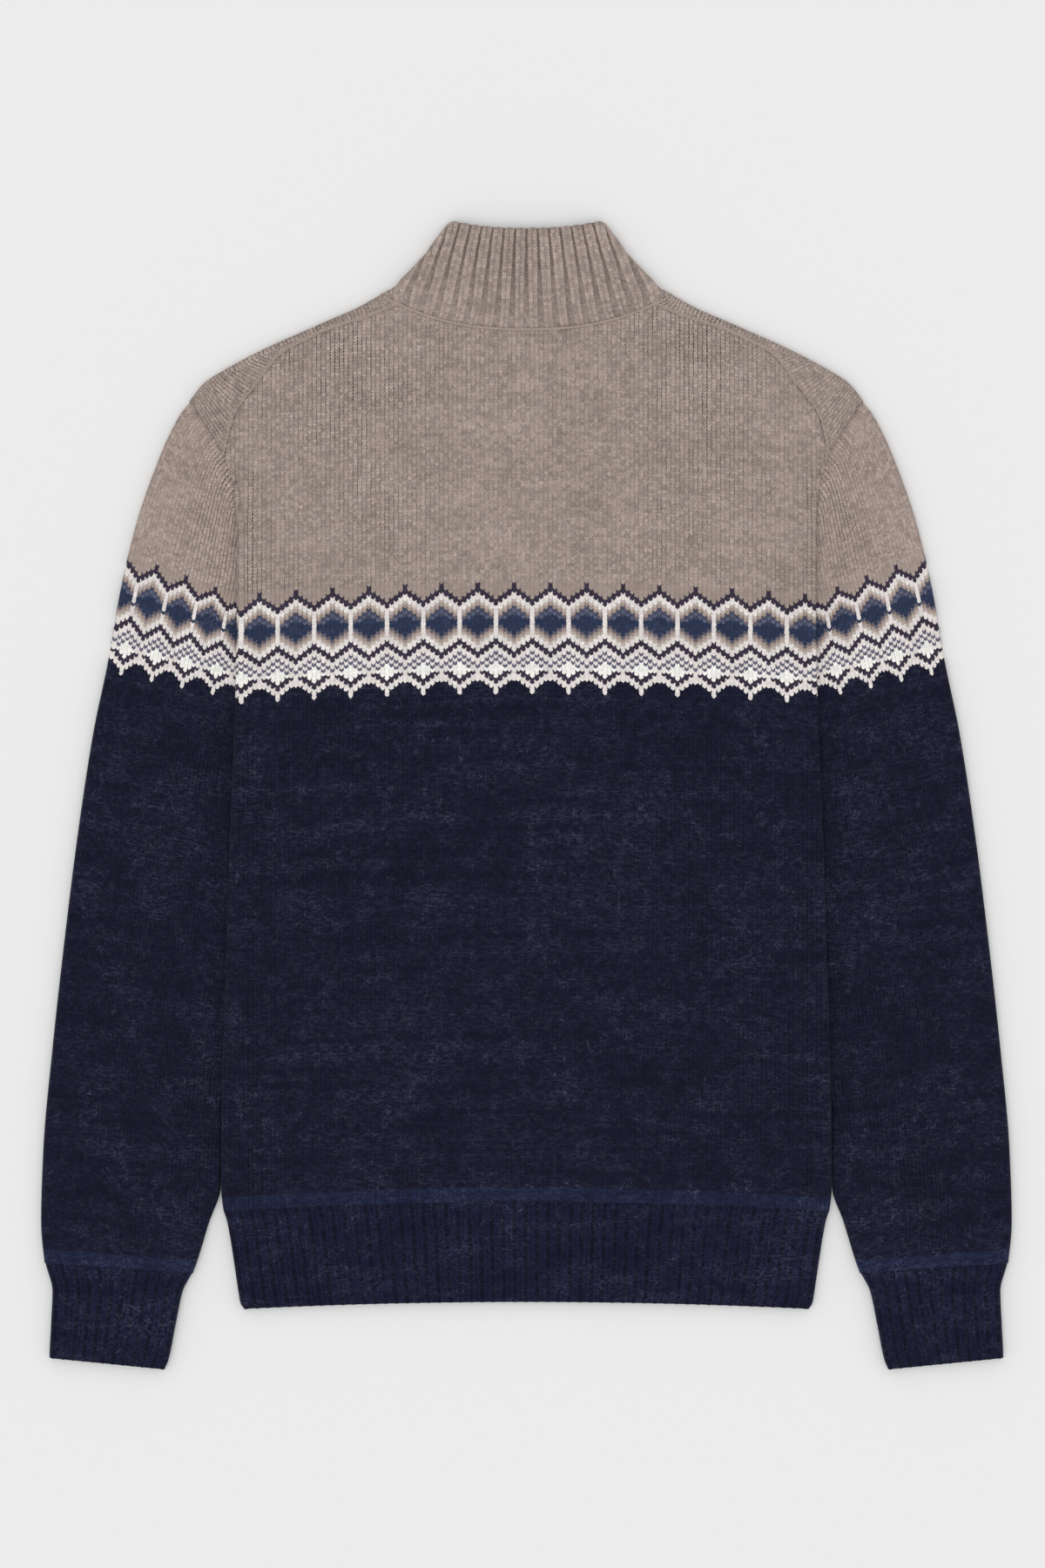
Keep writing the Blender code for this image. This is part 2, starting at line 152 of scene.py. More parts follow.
SLEEVE_ROWS = [  # inner y, outer y
    (45, 271.5), (43, 256), (41, 236), (39, 212), (36.5, 188), (34, 160), (31, 128),
    (28, 98), (22, 68), (5, 40), (-25, 5), (-60, -35), (-100, -80), (-145, -130),
    (-190, -180), (-222, -215), (-269, -258), (-300, -290), (-327.8, -320.8),
]
CUFF_ROWS = [(-327.4, -320.4), (-341, -338), (-366, -362), (-388, -380), (-394, -386)]
HEM_ROWS = [(0, 208.4), (0.12, 206.2), (0.45, 202.4), (0.85, 198.4), (0.95, 197.2), (1, 194.5)]
BODY_TOP, BODY_BOTTOM = CORNER_Y, -285.6

# How the courses of knitting run. Rows are counted down from the tips of the band's points

BAND_TOP = 146.4  # y of the band's first row in the middle of the back
BODY_DROOP = [(-279, 6.6), (70, 7.8), (146, 9.6), (236, 10.5)]  # y, how far a row hangs at the sides
DROOP_AT = 208
BAR_X = 4  # x of one of the band's upright bars
SLEEVE_COURSES = [  # outer y, slope of the row, row
    (-388, 0.07, 241), (-321, 0.069, 212), (-100, 0.13, 115), (85, 0.211, 34),
    (166, 0.37, 0), (220, 0.8, -25), (271.5, 1.49, -49),
]
SLEEVE_BAR = -3.07  # stitches from the sleeve's outer edge to a repeat's start
WRAP_STITCH = 2.7  # width of a stitch where the front turns over the shoulder
LONGEST_STEP = 8  # in stitches across a cell: more than this is where a ring's count starts again
STRIPE_ROWS = 3.4  # height of the tipping stripe over each rib, in rows

# The band's chart: runs of rows for each stitch of a repeat, from an upright bar (0) to the next point (4).
# T taupe, D dark, C cream, K pale beige, H beige, J beige and blue, G grey blue, F its light flecks, B blue,
# S slate, W white, N navy

BODY_CHART = [
    "T5 D2 C10 D2 C2 S1 C1 S1 W5 D2 C3 N",
    "T4 D2 C2 K1 H1 J1 B2 J1 H1 K1 C2 D2 C2 S1 C1 S1 W3 D2 C2 N",
    "T3 D2 C2 K1 H1 G1 F1 B3 J1 H1 K1 C2 D2 C2 S1 C1 S1 W1 D2 C2 N",
    "T2 D2 C2 K1 H1 G1 F1 B5 J1 H1 K1 C2 D2 C2 S1 C2 D1 C2 N",
    "D3 C2 K1 H1 G1 F1 G1 B6 J1 H1 K1 C2 D2 C2 S1 C4 N",
]
SLEEVE_CHART = ["T5 D2 C6 B1 C3 D2 C2 S1 C1 S1 W5 D2 C3 N"] + BODY_CHART[1:]
YARN_OF = {
    "D": "dark", "C": "cream", "K": "pale_beige", "H": "beige", "J": "blend", "G": "grey_blue", "F": "fleck",
    "B": "blue", "S": "slate", "W": "white", "N": "navy",
}
CHART_ROWS = 40
REPEAT = 8
BODY_FURROW_SHADE = (12, 34, 0.7, 1.4)  # wales from the middle, and how strong the painted shade in the furrows between wales is at each
SIDE_FURROW_SHADE = (61.5, 1.1)  # painted shade along the two furrows at the back's sides: wale, and half the width
# Painted shade in the front's furrows between wales, as for the back
FRONT_FURROW_SHADE = (12, 34, 0.7, 1.5)
TOP_FURROW_SHADE = (-78, -40, 1.7, 1)  # rows above the band, and how much stronger the painted shade in the furrows is at each
SLEEVE_FURROW_SHADE = (4, 16, 0.35, 2)  # wales from the outer edge, and their painted furrow shade, darkest towards the body
# Painted shade in the sleeves' furrows above the band, as for the body
SLEEVE_TOP_FURROW_SHADE = (-36, -6, 1.7, 1)
SIDE_SHADE_ROWS = (-46, -34, 0, 0.8)  # rows between which the painted shade along the side furrows grows, and how strong at each
BAND_ROWS = (17, 17.6)  # middle of the band and half its height
STRANDED = 0.45  # how much of the stitches' tone and painted shade the band's double cloth keeps
# How a rib looks: the tones of its furrows' painted shade, how strong the painted highlight on its edges is,
# and how strong the painted shade in its middle line is.
COLLAR_LOOK = ((0.56, 0.92), 0.26, 1.3)
NAVY_RIB_LOOK = ((0.62, 0.62), 0.15, 2.2)

# Sizes of what makes the surfaces uneven, in millimetres. A real fibre is 0.02 across and a loose end of
# yarn 0.2 to 0.5. The picture shows nothing under about 0.6, so fuzz and hairs are drawn that coarse.

PATTERNS = {  # size, detail, roughness, distortion
    "fuzz": (1, 4, 0.8, 0),
    "hair": (5.26, 1, 0.5, 2),  # from one loose hair to the next
    "patch": (8.33, 1, 0.5, 0),  # patches that have hairs
    "cloud": (26.3, 3, 0.5, 0),  # soft mottling that handling leaves
    "shade_mottle": (77, 1, 0.5, 0),  # patches where the painted shade in the furrows between wales is stronger
    "waver": (1.43, 3, 0.5, 0),
    "twist": (0.91, 3, 0.5, 0),  # the seam yarn's plies
    "grain": (3.33, 2, 0.5, 0),  # of the board
}
WALE_STREAK = 1.33  # in wales: from one furrow with stronger painted shade to the next
COURSE_STREAK = 4.55  # in rows: from one pale band of yarn to the next
SPECK = 0.67  # in rows

# Creases: x0, y0, x1, y1, half width, rise

BACK_CREASES = [
    (203, 232, 193.5, 196, 2.2, -1.3),
    (193, 200, 191.5, 95, 2.2, -1.2),
    (199.5, 190, 198, 60, 3, 0.7),
    (-202.5, 233, -193, 190, 2.4, -1.4),
    (-192.5, 195, -192, 110, 2.1, -1.2),
    (-199.5, 185, -198.5, 70, 3, 0.7),
    (26, 322, 28.5, 309, 2.3, -2.6),
    (28, 312, 32.5, 296, 2, -0.8),
    (19, 320, 21, 306, 3.8, 1.1),
    (120, 62, 198, 20, 12, 0.9),
    (-112, 40, -200, 2, 11, 0.6),
    (150, -60, 204, -92, 9, 0.5),
    (-160, -95, -205, -120, 10, 0.55),
    (-60, -215, 30, -240, 14, 0.5),
    (70, -180, 150, -215, 12, 0.5),
    (-150, 250, -100, 190, 14, 0.5),
    (155, 245, 105, 200, 12, 0.45),
    (-30, 60, 60, 35, 18, 0.4),
]
SLEEVE_CREASES = [  # for the right sleeve; the left one has its own
    (239, 236, 241.5, 160, 4.8, 3.4),
    (223, 240, 215, 120, 10, -3.1),
    (222, 40, 268, 20, 9, 0.7),
    (225, -20, 285, -42, 10, 0.6),
    (238, -130, 300, -120, 12, 0.5),
    (245, -215, 310, -235, 11, 0.6),
    (232, -285, 262, -309, 7, 0.8),
    (300, -262, 322, -304, 8, 0.6),
]
LEFT_SLEEVE_CREASES = [
    (238, 238, 242, 156, 5.2, 3.2),
    (222, 240, 216, 130, 9.5, -3),
    (218, 65, 262, 38, 10, 0.6),
    (232, -60, 296, -70, 12, 0.6),
    (240, -175, 290, -160, 10, 0.5),
    (250, -240, 318, -225, 12, 0.5),
    (236, -292, 270, -312, 8, 0.7),
]


# Settings

def linear(hex_colour):
    """An sRGB hex value as linear red, green, blue and alpha."""
    parts = [int(hex_colour[k:k + 2], 16) / 255 for k in (1, 3, 5)]
    return tuple(c / 12.92 if c <= 0.04045 else ((c + 0.055) / 1.055) ** 2.4 for c in parts) + (1,)


def colour_of(name, description, hex_colour):
    return FloatVectorProperty(name=name, description=description, size=4, min=0, max=1, subtype="COLOR",
                               default=linear(hex_colour))


def length_of(name, description, default, least=0):
    """A length, in metres."""
    return FloatProperty(name=name, description=description, unit="LENGTH", precision=5, min=least,
                         default=default)


def share_of(name, description, default, most=1):
    return FloatProperty(name=name, description=description, subtype="FACTOR", min=0, max=most,
                         default=default)


def whole_of(name, description, default, least=4):
    return IntProperty(name=name, description=description, min=least, default=default)


class YarnColours(bpy.types.PropertyGroup):
    """The colours of the yarns"""
    taupe: colour_of("Taupe", "Ground above the band", "#9E8F86")
    # Painted light: the taupe yarn made a little lighter, so that the sleeves look more brightly lit than the
    # body
    sleeve_taupe_painted_light: colour_of("Sleeve taupe", "The same yarn in the sleeves", "#A4948B")
    rib_taupe: colour_of("Rib taupe", "The same yarn in the collar's rib", "#9F9087")
    navy: colour_of("Navy", "Ground below the band", "#131428")
    rib_navy: colour_of("Rib navy", "The navy yarn in hem and cuffs", "#15172F")
    stripe: colour_of("Stripe", "Tipping stripe over each rib", "#191F39")
    dark: colour_of("Dark", "Outlines in the band", "#362F3E")
    cream: colour_of("Cream", "Light areas of the band", "#E4DDD9")
    white: colour_of("White", "The band's lower diamonds", "#F4F2EC")
    slate: colour_of("Slate", "Grey blue of the band", "#5F5F71")
    blue: colour_of("Blue", "Middle of the band's hexagons", "#2A344D")
    grey_blue: colour_of("Grey blue", "Above the blue in the hexagons", "#424659")
    fleck: colour_of("Fleck", "Light flecks in the hexagons", "#5A5E74")
    pale_beige: colour_of("Pale beige", "Between cream and beige in the hexagons", "#B9ACA4")
    beige: colour_of("Beige", "Inside the hexagons' outlines", "#A19087")
    blend: colour_of("Blend", "Between beige and blue in the hexagons", "#645F69")
    fibres: colour_of("Loose fibres", "What pale fibres add to every yarn's colour", "#23252E")


class KnitSettings(bpy.types.PropertyGroup):
    """Gauge of the knitting and fineness of the surfaces"""
    stitch: length_of("Stitch", "Width of a stitch in the body", 0.00312, 0.001)
    row: length_of("Row", "Height of a row in the body", 0.00225, 0.001)
    sleeve_stitch: length_of("Sleeve stitch", "Width of a stitch in the sleeves", 0.00267, 0.001)
    cell: length_of("Cell", "Size of the cells of the cloth surfaces", 0.003, 0.0025)
    relief: length_of("Relief", "Depth of the stitches", 0.00055)
    slant: share_of("Slant", "How far a stitch's legs climb, in rows", 0.55, 2)


class RibSettings(bpy.types.PropertyGroup):
    """The 2x2 ribs of collar, hem and cuffs"""
    neck_ribs: whole_of("Collar ribs", "Ribs round the collar", 42)
    hem_ribs: whole_of("Hem ribs", "Ribs round the hem", 106)
    cuff_ribs: whole_of("Cuff ribs", "Ribs round a cuff", 24)
    steps: whole_of("Steps", "Cells across a rib", 12)
    neck_depth: length_of("Collar depth", "Depth of the collar's furrows", 0.0023)
    rib_depth: length_of("Rib depth", "Depth of hem and cuff furrows", 0.0008)
    top_furrow: share_of("Furrow at collar top", "Part of a rib's pitch that is furrow", 0.32)
    base_furrow: share_of("Furrow at collar base", "Part of a rib's pitch that is furrow", 0.54)
    furrow: share_of("Furrow", "Part of a rib's pitch that is furrow, at hem and cuffs", 0.26)


class SeamSettings(bpy.types.PropertyGroup):
    """Linked seams"""
    spacing: length_of("Spacing", "Distance between linking stitches", 0.0029, 0.001)
    yarn: length_of("Yarn", "Thickness of the linking yarn", 0.00125, 0.0002)
    seed: whole_of("Seed", "Of the stitches' small differences", 7, 0)


class StageSettings(bpy.types.PropertyGroup):
    """Floor, light and camera"""
    floor: colour_of("Floor", "Colour of the floor", "#ECECEC")
    floor_width: length_of("Floor width", "Length of the square floor's sides", 6, 1)
    light: colour_of("Light", "Colour of the light from all round", "#FFFFFF")
    sky: FloatProperty(name="Sky", description="Strength of the light from all round", min=0, default=0.76)
    lamp: FloatProperty(
        name="Lamp", description="Strength of the soft light from above", min=0, default=0.775)
    lamp_angle: FloatProperty(name="Lamp angle", description="How wide the soft light is", subtype="ANGLE",
                              min=0, max=math.pi, default=math.radians(60))
    centre: FloatVectorProperty(name="Centre", description="What the camera looks at", size=3, unit="LENGTH",
                                subtype="TRANSLATION", default=(-0.0027, 0.0084, 0))
    height: length_of("Picture height", "Height of floor in the picture", 1.08, 0.1)
    lens: FloatProperty(name="Lens", description="Focal length", unit="CAMERA", min=10, default=100)


# Reading tables and making curves

def along(rows, at):
    """The second column of a table, read between its rows at a value of the first."""
    return np.interp(at, [row[0] for row in rows], [row[1] for row in rows])


def smooth_along(keys, values, at):
    """A smooth curve through a table's points, which doesn't overshoot them."""
    keys, values, at = np.asarray(keys, float), np.asarray(values, float), np.asarray(at, float)
    steps = np.diff(values) / np.diff(keys)
    slopes = np.empty_like(values)
    slopes[0], slopes[-1] = steps[0], steps[-1]
    before, after = steps[:-1], steps[1:]
    agree = before * after > 0
    total = np.where(agree, before + after, 1)
    slopes[1:-1] = np.where(agree, 2 * before * after / total, 0)
    at = np.clip(at, keys[0], keys[-1])
    k = np.clip(np.searchsorted(keys, at, side="right") - 1, 0, len(keys) - 2)
    width = keys[k + 1] - keys[k]
    t = (at - keys[k]) / width
    start = (1 + 2 * t) * (1 - t) ** 2 * values[k] + t * (1 - t) ** 2 * width * slopes[k]
    return start + t * t * (3 - 2 * t) * values[k + 1] + t * t * (t - 1) * width * slopes[k + 1]


def curve(table, at):
    return smooth_along([row[0] for row in table], [row[1] for row in table], at)


def ease(t):
    t = np.clip(t, 0, 1)
    return t * t * (3 - 2 * t)


def unit(x, y):
    length = math.hypot(x, y)
    return np.array((x / length, y / length))


def creases(table, x, y):
    """Height that a table of creases adds at points of a layer."""
    rise = np.zeros_like(x)
    for x0, y0, x1, y1, width, height in table:
        way = np.array((x1 - x0, y1 - y0))
        length = math.hypot(*way)
        way = way / length
        on = (x - x0) * way[0] + (y - y0) * way[1]
        off = (x - x0) * way[1] - (y - y0) * way[0]
        ends = ease((on + width) / (2 * width)) * ease((length - on + width) / (2 * width))
        rise += height * ends * np.exp(-(off / width) ** 2)
    return rise


def ripple(x, y, height):
    """The slight unevenness of cloth that was smoothed by hand."""
    slow = np.sin(x / 31 + 1.3 * np.sin(y / 57)) * np.sin(y / 43 + 0.7 * np.sin(x / 71) + 0.6)
    quick = np.sin(x / 11 + y / 23 + 2) * np.sin(y / 14 - x / 37)
    return height * (0.7 * slow + 0.3 * quick)


# Heights of the middle of each layer

def sleeve_top(x, y):
    pressed = KNIT / 2 + 2 * SLEEVE_PRESSED
    loose = KNIT / 2 + 2 * SLEEVE_LOOSE
    free = ease((x - along(BODY_EDGE, y) - SWELL_FROM) / SWELL_OVER)
    beside_body = pressed + (loose - pressed) * free
    return beside_body + (MIDDLE_Z - beside_body) * ease((y - LEVEL_FROM_Y) / LEVEL_OVER)


def lift(y):
    return ease((y - LIFT_NONE_Y) / (LIFT_FULL_Y - LIFT_NONE_Y))


def climb(x, y):
    inner_edge = np.where(y > UNDERARM_Y, along(ARMHOLE, y), along(SLEEVE_INNER, y))
    foot = np.minimum(inner_edge - FOOT_FROM_SLEEVE, along(BODY_EDGE, y) - FOOT_FROM_EDGE)
    return ease((np.abs(x) - foot + RAMP_WIDTH) / RAMP_WIDTH)


def under_z(x, y):
    raised = 2 * SLEEVE_PRESSED + KNIT + LAYER_GAP
    return KNIT / 2 + raised * lift(y) * climb(x, y)


def front_z(x, y):
    down = 1 - ease((y - UNDERARM_Y) / FRONT_DOWN)
    return KNIT / 2 + (under_z(x, y) - KNIT / 2) * down


def edge_z(y):
    edge = along(BODY_EDGE, y)
    low = under_z(edge, y) + 2 * SIDE_FOLD
    high = sleeve_top(edge, y) + along(BACK_OFF_SLEEVE, y)
    return low + (high - low) * ease((y - ROUND_FROM_Y) / 20)


def back_z(x, y):
    middle = HEM_Z + (MIDDLE_Z - HEM_Z) * lift(y)
    return middle + (edge_z(np.minimum(y, CORNER_Y)) - middle) * climb(x, y)


# Outlines

def fold_turn(y):
    rise = along(BACK_OFF_SLEEVE, y) - KNIT - LAYER_GAP
    return max(LEAST_TURN, math.acos(1 - min(max(rise, 0), 2 * SIDE_FOLD) / SIDE_FOLD))


def back_tangent(y):
    reach = (SIDE_FOLD + KNIT / 2) * math.sin(min(fold_turn(y), math.pi / 2))
    return float(curve(BODY_EDGE, y)) - reach


def seam_x(y):
    return float(curve(ARMHOLE, y)) if y > UNDERARM_Y else float(curve(SIDE_SEAM, y))


def hem_seam_y(x):
    return HEM_SEAM_Y - HEM_DROP * (x / back_tangent(BODY_BOTTOM)) ** 2


def collar_top_z(part):
    return MIDDLE_Z + COLLAR_RISE * ease(part * 3)


def collar_tangent(part):
    """The side of the collar at a part of its height: where the fold begins, its direction and its radius."""
    steps = np.linspace(0, 1, len(COLLAR_SIDE))
    x, y = (float(smooth_along(steps, [row[k] for row in COLLAR_SIDE], part)) for k in (0, 1))
    outward = unit(COLLAR_SIDE[-1][1] - COLLAR_SIDE[0][1], COLLAR_SIDE[0][0] - COLLAR_SIDE[-1][0])
    outward = unit(*(outward * (1, 1 - 0.9 * ease((part - 0.5) * 2))))
    radius = (collar_top_z(part) - NECK_RIB / 2) / 2
    return np.array((x, y)) - (radius + NECK_RIB / 2) * outward, outward, radius


def neckline(q, side, middle_y):
    return side[0] * q, middle_y + (side[1] - middle_y) * np.abs(q) ** NECK_CURVE


def shoulder_line(steps):
    """Points from neck to armhole: on the seam, where the fold begins, and the direction of the fold."""
    keys = np.arange(len(SHOULDER))
    at = np.linspace(0, len(SHOULDER) - 1, steps)
    seam = np.array([smooth_along(keys, [row[k] for row in SHOULDER], at) for k in (0, 1)]).T
    fold = np.array([smooth_along(keys, [row[k] for row in SHOULDER], at) for k in (2, 3)]).T
    slope = np.gradient(fold, axis=0)
    outward = np.array([unit(-s[1], s[0]) for s in slope])
    return seam, fold - (SHOULDER_FOLD + KNIT / 2) * outward, outward


def row_of(x, y):
    """The body's row of knitting at a point, counted down from the band's points."""
    droop = along(BODY_DROOP, y) * (x / DROOP_AT) ** 2
    return (BAND_TOP - droop - y) / settings("sweater_knit").row


def settings(name):
    """A group's values, with lengths in millimetres."""
    group = getattr(bpy.context.scene, name)
    values = {}
    for key in group.__annotations__:
        value = getattr(group, key)
        value = tuple(value) if hasattr(value, "__len__") else value
        if getattr(group.bl_rna.properties[key], "unit", "NONE") == "LENGTH":
            value = np.array(value) / MM
        values[key] = value
    return SimpleNamespace(**values)


# Surfaces. Each is an array of rows of columns of x, y, z, with a second array for the stitch and the row

def both_sides(x, y, z, u, v, knit):
    """A whole row of points, and their stitches and rows, from its right half, which starts at x = 0."""
    points = np.stack((x, y, z), axis=-1)
    stitches = np.stack((u, v), axis=-1)
    points = np.concatenate((points[:0:-1] * (-1, 1, 1), points))
    stitches = np.concatenate((stitches[:0:-1] * (-1, 1), stitches))
    stitches[:, 0] += 0.5 - BAR_X / knit.stitch
    return points, stitches


def all_rows(rows):
    """Pairs of a row's points and its stitches, as one array of points and one of stitches."""
    points, stitches = zip(*rows)
    return np.array(points), np.array(stitches)


def back_rows(knit):
    side = collar_tangent(0)[0]
    neck_x = np.linspace(0, SHOULDER[0][0], int(SHOULDER[0][0] / knit.cell), endpoint=False)
    neck_y = neckline(neck_x / side[0], side, NECK_BACK_Y)[1] - SEAM
    seam = shoulder_line(SEAM_POINTS)[0] - SEAM / 2 * ACROSS_SHOULDER
    top_x = np.concatenate((neck_x, seam[:, 0]))
    top_y = np.concatenate((neck_y, seam[:, 1]))
    f = top_x / top_x[-1]
    low_y = hem_seam_y(f * back_tangent(BODY_BOTTOM)) + SEAM / 2
    eighths = np.arange(1, 9) / 8
    for part in np.linspace(0, 1, int(BACK_LENGTH / knit.cell)):
        level = BODY_BOTTOM + part * (BODY_TOP - BODY_BOTTOM)
        tangent = back_tangent(level)
        x = f * tangent
        y = low_y + part * (top_y - low_y)
        z = back_z(x, y)
        turn = fold_turn(level)
        strip = max(0, tangent - seam_x(level) - SEAM / 2) if turn > math.pi - 0.01 else 0
        length = turn * SIDE_FOLD + strip
        arc = min(math.pi * SIDE_FOLD, 0.8 * length)
        s = np.concatenate((arc * eighths, arc + (length - arc) * eighths))
        on_arc = s <= math.pi * SIDE_FOLD + 1e-6
        under_x = tangent - (s - math.pi * SIDE_FOLD)
        under_y = y[-1] + (1 - part) * (hem_seam_y(under_x) - hem_seam_y(tangent))
        fold_x = np.where(on_arc, tangent + SIDE_FOLD * np.sin(s / SIDE_FOLD), under_x)
        fold_y = np.where(on_arc, y[-1], under_y)
        fold_z = np.where(on_arc, z[-1] - SIDE_FOLD * (1 - np.cos(s / SIDE_FOLD)), under_z(under_x, fold_y))
        u = np.concatenate((x, tangent + s)) / knit.stitch
        x = np.concatenate((x, fold_x))
        y = np.concatenate((y, fold_y))
        v = row_of(np.minimum(np.abs(x), tangent), y)
        points, stitches = both_sides(x, y, np.concatenate((z, fold_z)), u, v, knit)
        top = points[len(s):len(points) - len(s)]
        x, y = top[:, 0], top[:, 1]
        ends = ease(part * 40) * ease((1 - part) * 40)
        add = creases(BACK_CREASES, x, y) + ripple(x, y, RIPPLE) * ends
        fade = ease((tangent - np.abs(x)) / 6)
        room = np.where(np.abs(x) < MIDDLE_HALF, MIDDLE_ROOM, SIDE_ROOM)
        top[:, 2] += np.maximum(add * np.where(add > 0, fade, 1), -room)
        yield points, stitches


def front_surface(knit):
    """The front's points and stitches, and which cells exist: its neck has no turn over the shoulder."""
    seam, tangents, outward = shoulder_line(FRONT_SEAM_POINTS)
    neck_x, neck_y = neckline(np.linspace(0, 1, FRONT_NECK_POINTS, endpoint=False), tangents[0], NECK_FRONT_Y)
    first = len(neck_x)
    start = np.concatenate((np.column_stack((neck_x, neck_y - SEAM)), tangents))
    top_x, top_y = start.T
    f = top_x / top_x[-1]
    between = (seam + tangents + SHOULDER_FOLD * outward) / 2
    arc = np.concatenate(([0], np.cumsum(np.hypot(*np.diff(between, axis=0).T))))
    wales = np.concatenate((neck_x / knit.stitch, tangents[0, 0] / knit.stitch + arc / WRAP_STITCH))
    low_y = hem_seam_y(f * seam_x(BODY_BOTTOM)) + SEAM / 2
    rows = []
    flat_rows = int(FRONT_LENGTH / knit.cell)
    for part in np.linspace(0, 1, flat_rows):
        edge = seam_x(BODY_BOTTOM + part * (ARMHOLE[-1][0] - BODY_BOTTOM)) - SEAM / 2
        edge += (top_x[-1] - edge) * ease((part - 0.98) / 0.02)
        x = f * edge
        y = low_y + part * (top_y - low_y)
        near_top = ease((part - 0.75) * 4)
        u = f * top_x[-1] / knit.stitch * (1 - near_top) + wales * near_top
        rows.append(both_sides(x, y, front_z(x, y), u, row_of(x, y), knit))
    end_row = rows[-1][1][:, 1]
    turned = np.concatenate((np.zeros((first, 2)), outward))
    over = np.concatenate((start[:first], seam + SEAM / 2 * ACROSS_SHOULDER)) - start
    r = SHOULDER_FOLD
    steps = [(r * math.sin(angle) * turned, KNIT / 2 + r * (1 - math.cos(angle)), r * angle)
             for angle in math.pi * np.arange(1, 9) / 8]
    steps += [(part * over, MIDDLE_Z + 0.5 * ease((part - 0.5) * 2), math.pi * r + part * np.hypot(*over.T))
              for part in np.arange(1, 10) / 9]
    for move, z, past in steps:
        points, stitches = both_sides(*(start + move).T, 0 * f + z, wales, 0 * f + past / knit.row, knit)
        stitches[:, 1] = end_row - stitches[:, 1]
        rows.append((points, stitches))
    half = len(f) - 1
    columns = np.arange(2 * half)
    nearest = np.minimum(np.abs(columns - half), np.abs(columns + 1 - half))
    keep = np.ones((len(rows) - 1, 2 * half), bool)
    keep[flat_rows - 1:, nearest < first] = False
    return *all_rows(rows), keep


def sleeve_line(part, rows):
    """Ends of a row across the sleeve, at a part of the way down a table of rows."""
    keys = np.linspace(0, 1, len(rows))
    inner_y, outer_y = (float(smooth_along(keys, [row[k] for row in rows], part)) for k in (0, 1))
    inner = np.array((float(curve(SLEEVE_INNER, inner_y)), inner_y))
    outer = np.array((float(curve(SLEEVE_OUTER, outer_y)), outer_y))
    return inner, outer


def tube_ring(inner, outer, bend, thickness, q, fold_steps):
    """A ring of the right sleeve, and for each point its layer: 1 above, -1 below, between on a fold."""
    low = thickness / 2 + RING_LIFT
    way = unit(*(outer - inner))
    inner_fold = (float(sleeve_top(*inner)) - low) / 2
    outer_fold = (float(sleeve_top(*outer)) - low) / 2
    start = inner + (inner_fold + thickness / 2) * way
    end = outer - (outer_fold + thickness / 2) * way
    flat = start + q[:, None] * (end - start)
    if bend > 0:
        seam_y = ARMHOLE[0][0] + q * (ARMHOLE[-1][0] - ARMHOLE[0][0])
        bow = curve(ARMHOLE, seam_y) - (ARMHOLE[0][1] + q * (ARMHOLE[-1][1] - ARMHOLE[0][1])) + SEAM / 2
        chord = inner + q[:, None] * (outer - inner) + np.stack((bow, np.zeros_like(bow)), axis=-1)
        inside = ease(q * 12) * ease((1 - q) * 12)
        flat = flat + (bend * inside)[:, None] * (chord - flat)
    turn = np.pi * np.arange(1, fold_steps) / fold_steps
    right = end + outer_fold * np.sin(turn)[:, None] * way
    left = start - inner_fold * np.sin(turn)[:, None] * way
    plan = np.concatenate((flat, right, flat[::-1], left))
    z = np.concatenate((np.full(len(q), low), low + outer_fold * (1 - np.cos(turn)),
                        sleeve_top(flat[::-1, 0], flat[::-1, 1]), low + inner_fold * (1 + np.cos(turn))))
    layer = np.concatenate((-np.ones(len(q)), -np.cos(turn), np.ones(len(q)), np.cos(turn)))
    return np.column_stack((plan, z)), layer


def sleeve_courses(x, y):
    """Stitch and row of points in plan: rows fan out from the cuff to the shoulder."""
    table = np.array(SLEEVE_COURSES)
    outer_y = np.linspace(table[0, 0], table[-1, 0], 160)
    slope = smooth_along(table[:, 0], table[:, 1], outer_y)
    row = smooth_along(table[:, 0], table[:, 2], outer_y)
    outer_x = curve(SLEEVE_OUTER, outer_y)
    miss = y[:, None] - outer_y - slope * (x[:, None] - outer_x)
    k = np.clip((miss > 0).sum(axis=1) - 1, 0, len(outer_y) - 2)
    i = np.arange(len(x))
    part = np.clip(miss[i, k] / (miss[i, k] - miss[i, k + 1]), -40, 40)
    edge_x = outer_x[k] + part * (outer_x[k + 1] - outer_x[k])
    tilt = slope[k] + np.clip(part, 0, 1) * (slope[k + 1] - slope[k])
    from_edge = (edge_x - KNIT / 2 - x) * np.hypot(1, tilt)
    return from_edge, row[k] + part * (row[k + 1] - row[k])


def sleeve_rows(knit, crease_table):
    q = np.linspace(0, 1, SLEEVE_POINTS)
    for part in np.linspace(0, 1, int(SLEEVE_LENGTH / knit.cell)):
        inner, outer = sleeve_line(part, SLEEVE_ROWS)
        bend = max(0, 1 - part * (len(SLEEVE_ROWS) - 1) / 7)
        ring, layer = tube_ring(inner, outer, bend, KNIT, q, 8)
        x, y = ring[:, 0], ring[:, 1]
        from_edge, row = sleeve_courses(x, y)
        flat = ease((layer - 0.9) * 20)
        beside = ease((x - along(BODY_EDGE, y)) / 6)
        add = creases(crease_table, x, y) + ripple(x * 1.3, y, RIPPLE)
        ends = ease(part * 40) * ease((1 - part) * 30)
        ring[:, 2] += add * flat * beside * ends
        tucked = (1 - ease(part * 40)) * ease((y - TUCK_FROM_Y) / 20) * ease((layer + 1) / 2)
        ring[:, :2] += (TUCK * tucked)[:, None] * INTO_ARMHOLE
        ring[:, 2] -= np.maximum(KNIT - along(BACK_OFF_SLEEVE, ring[:, 1]), 0) * tucked
        wale = from_edge * np.sign(layer + 1e-9) / knit.sleeve_stitch + SLEEVE_BAR
        yield ring, np.column_stack((wale, row))


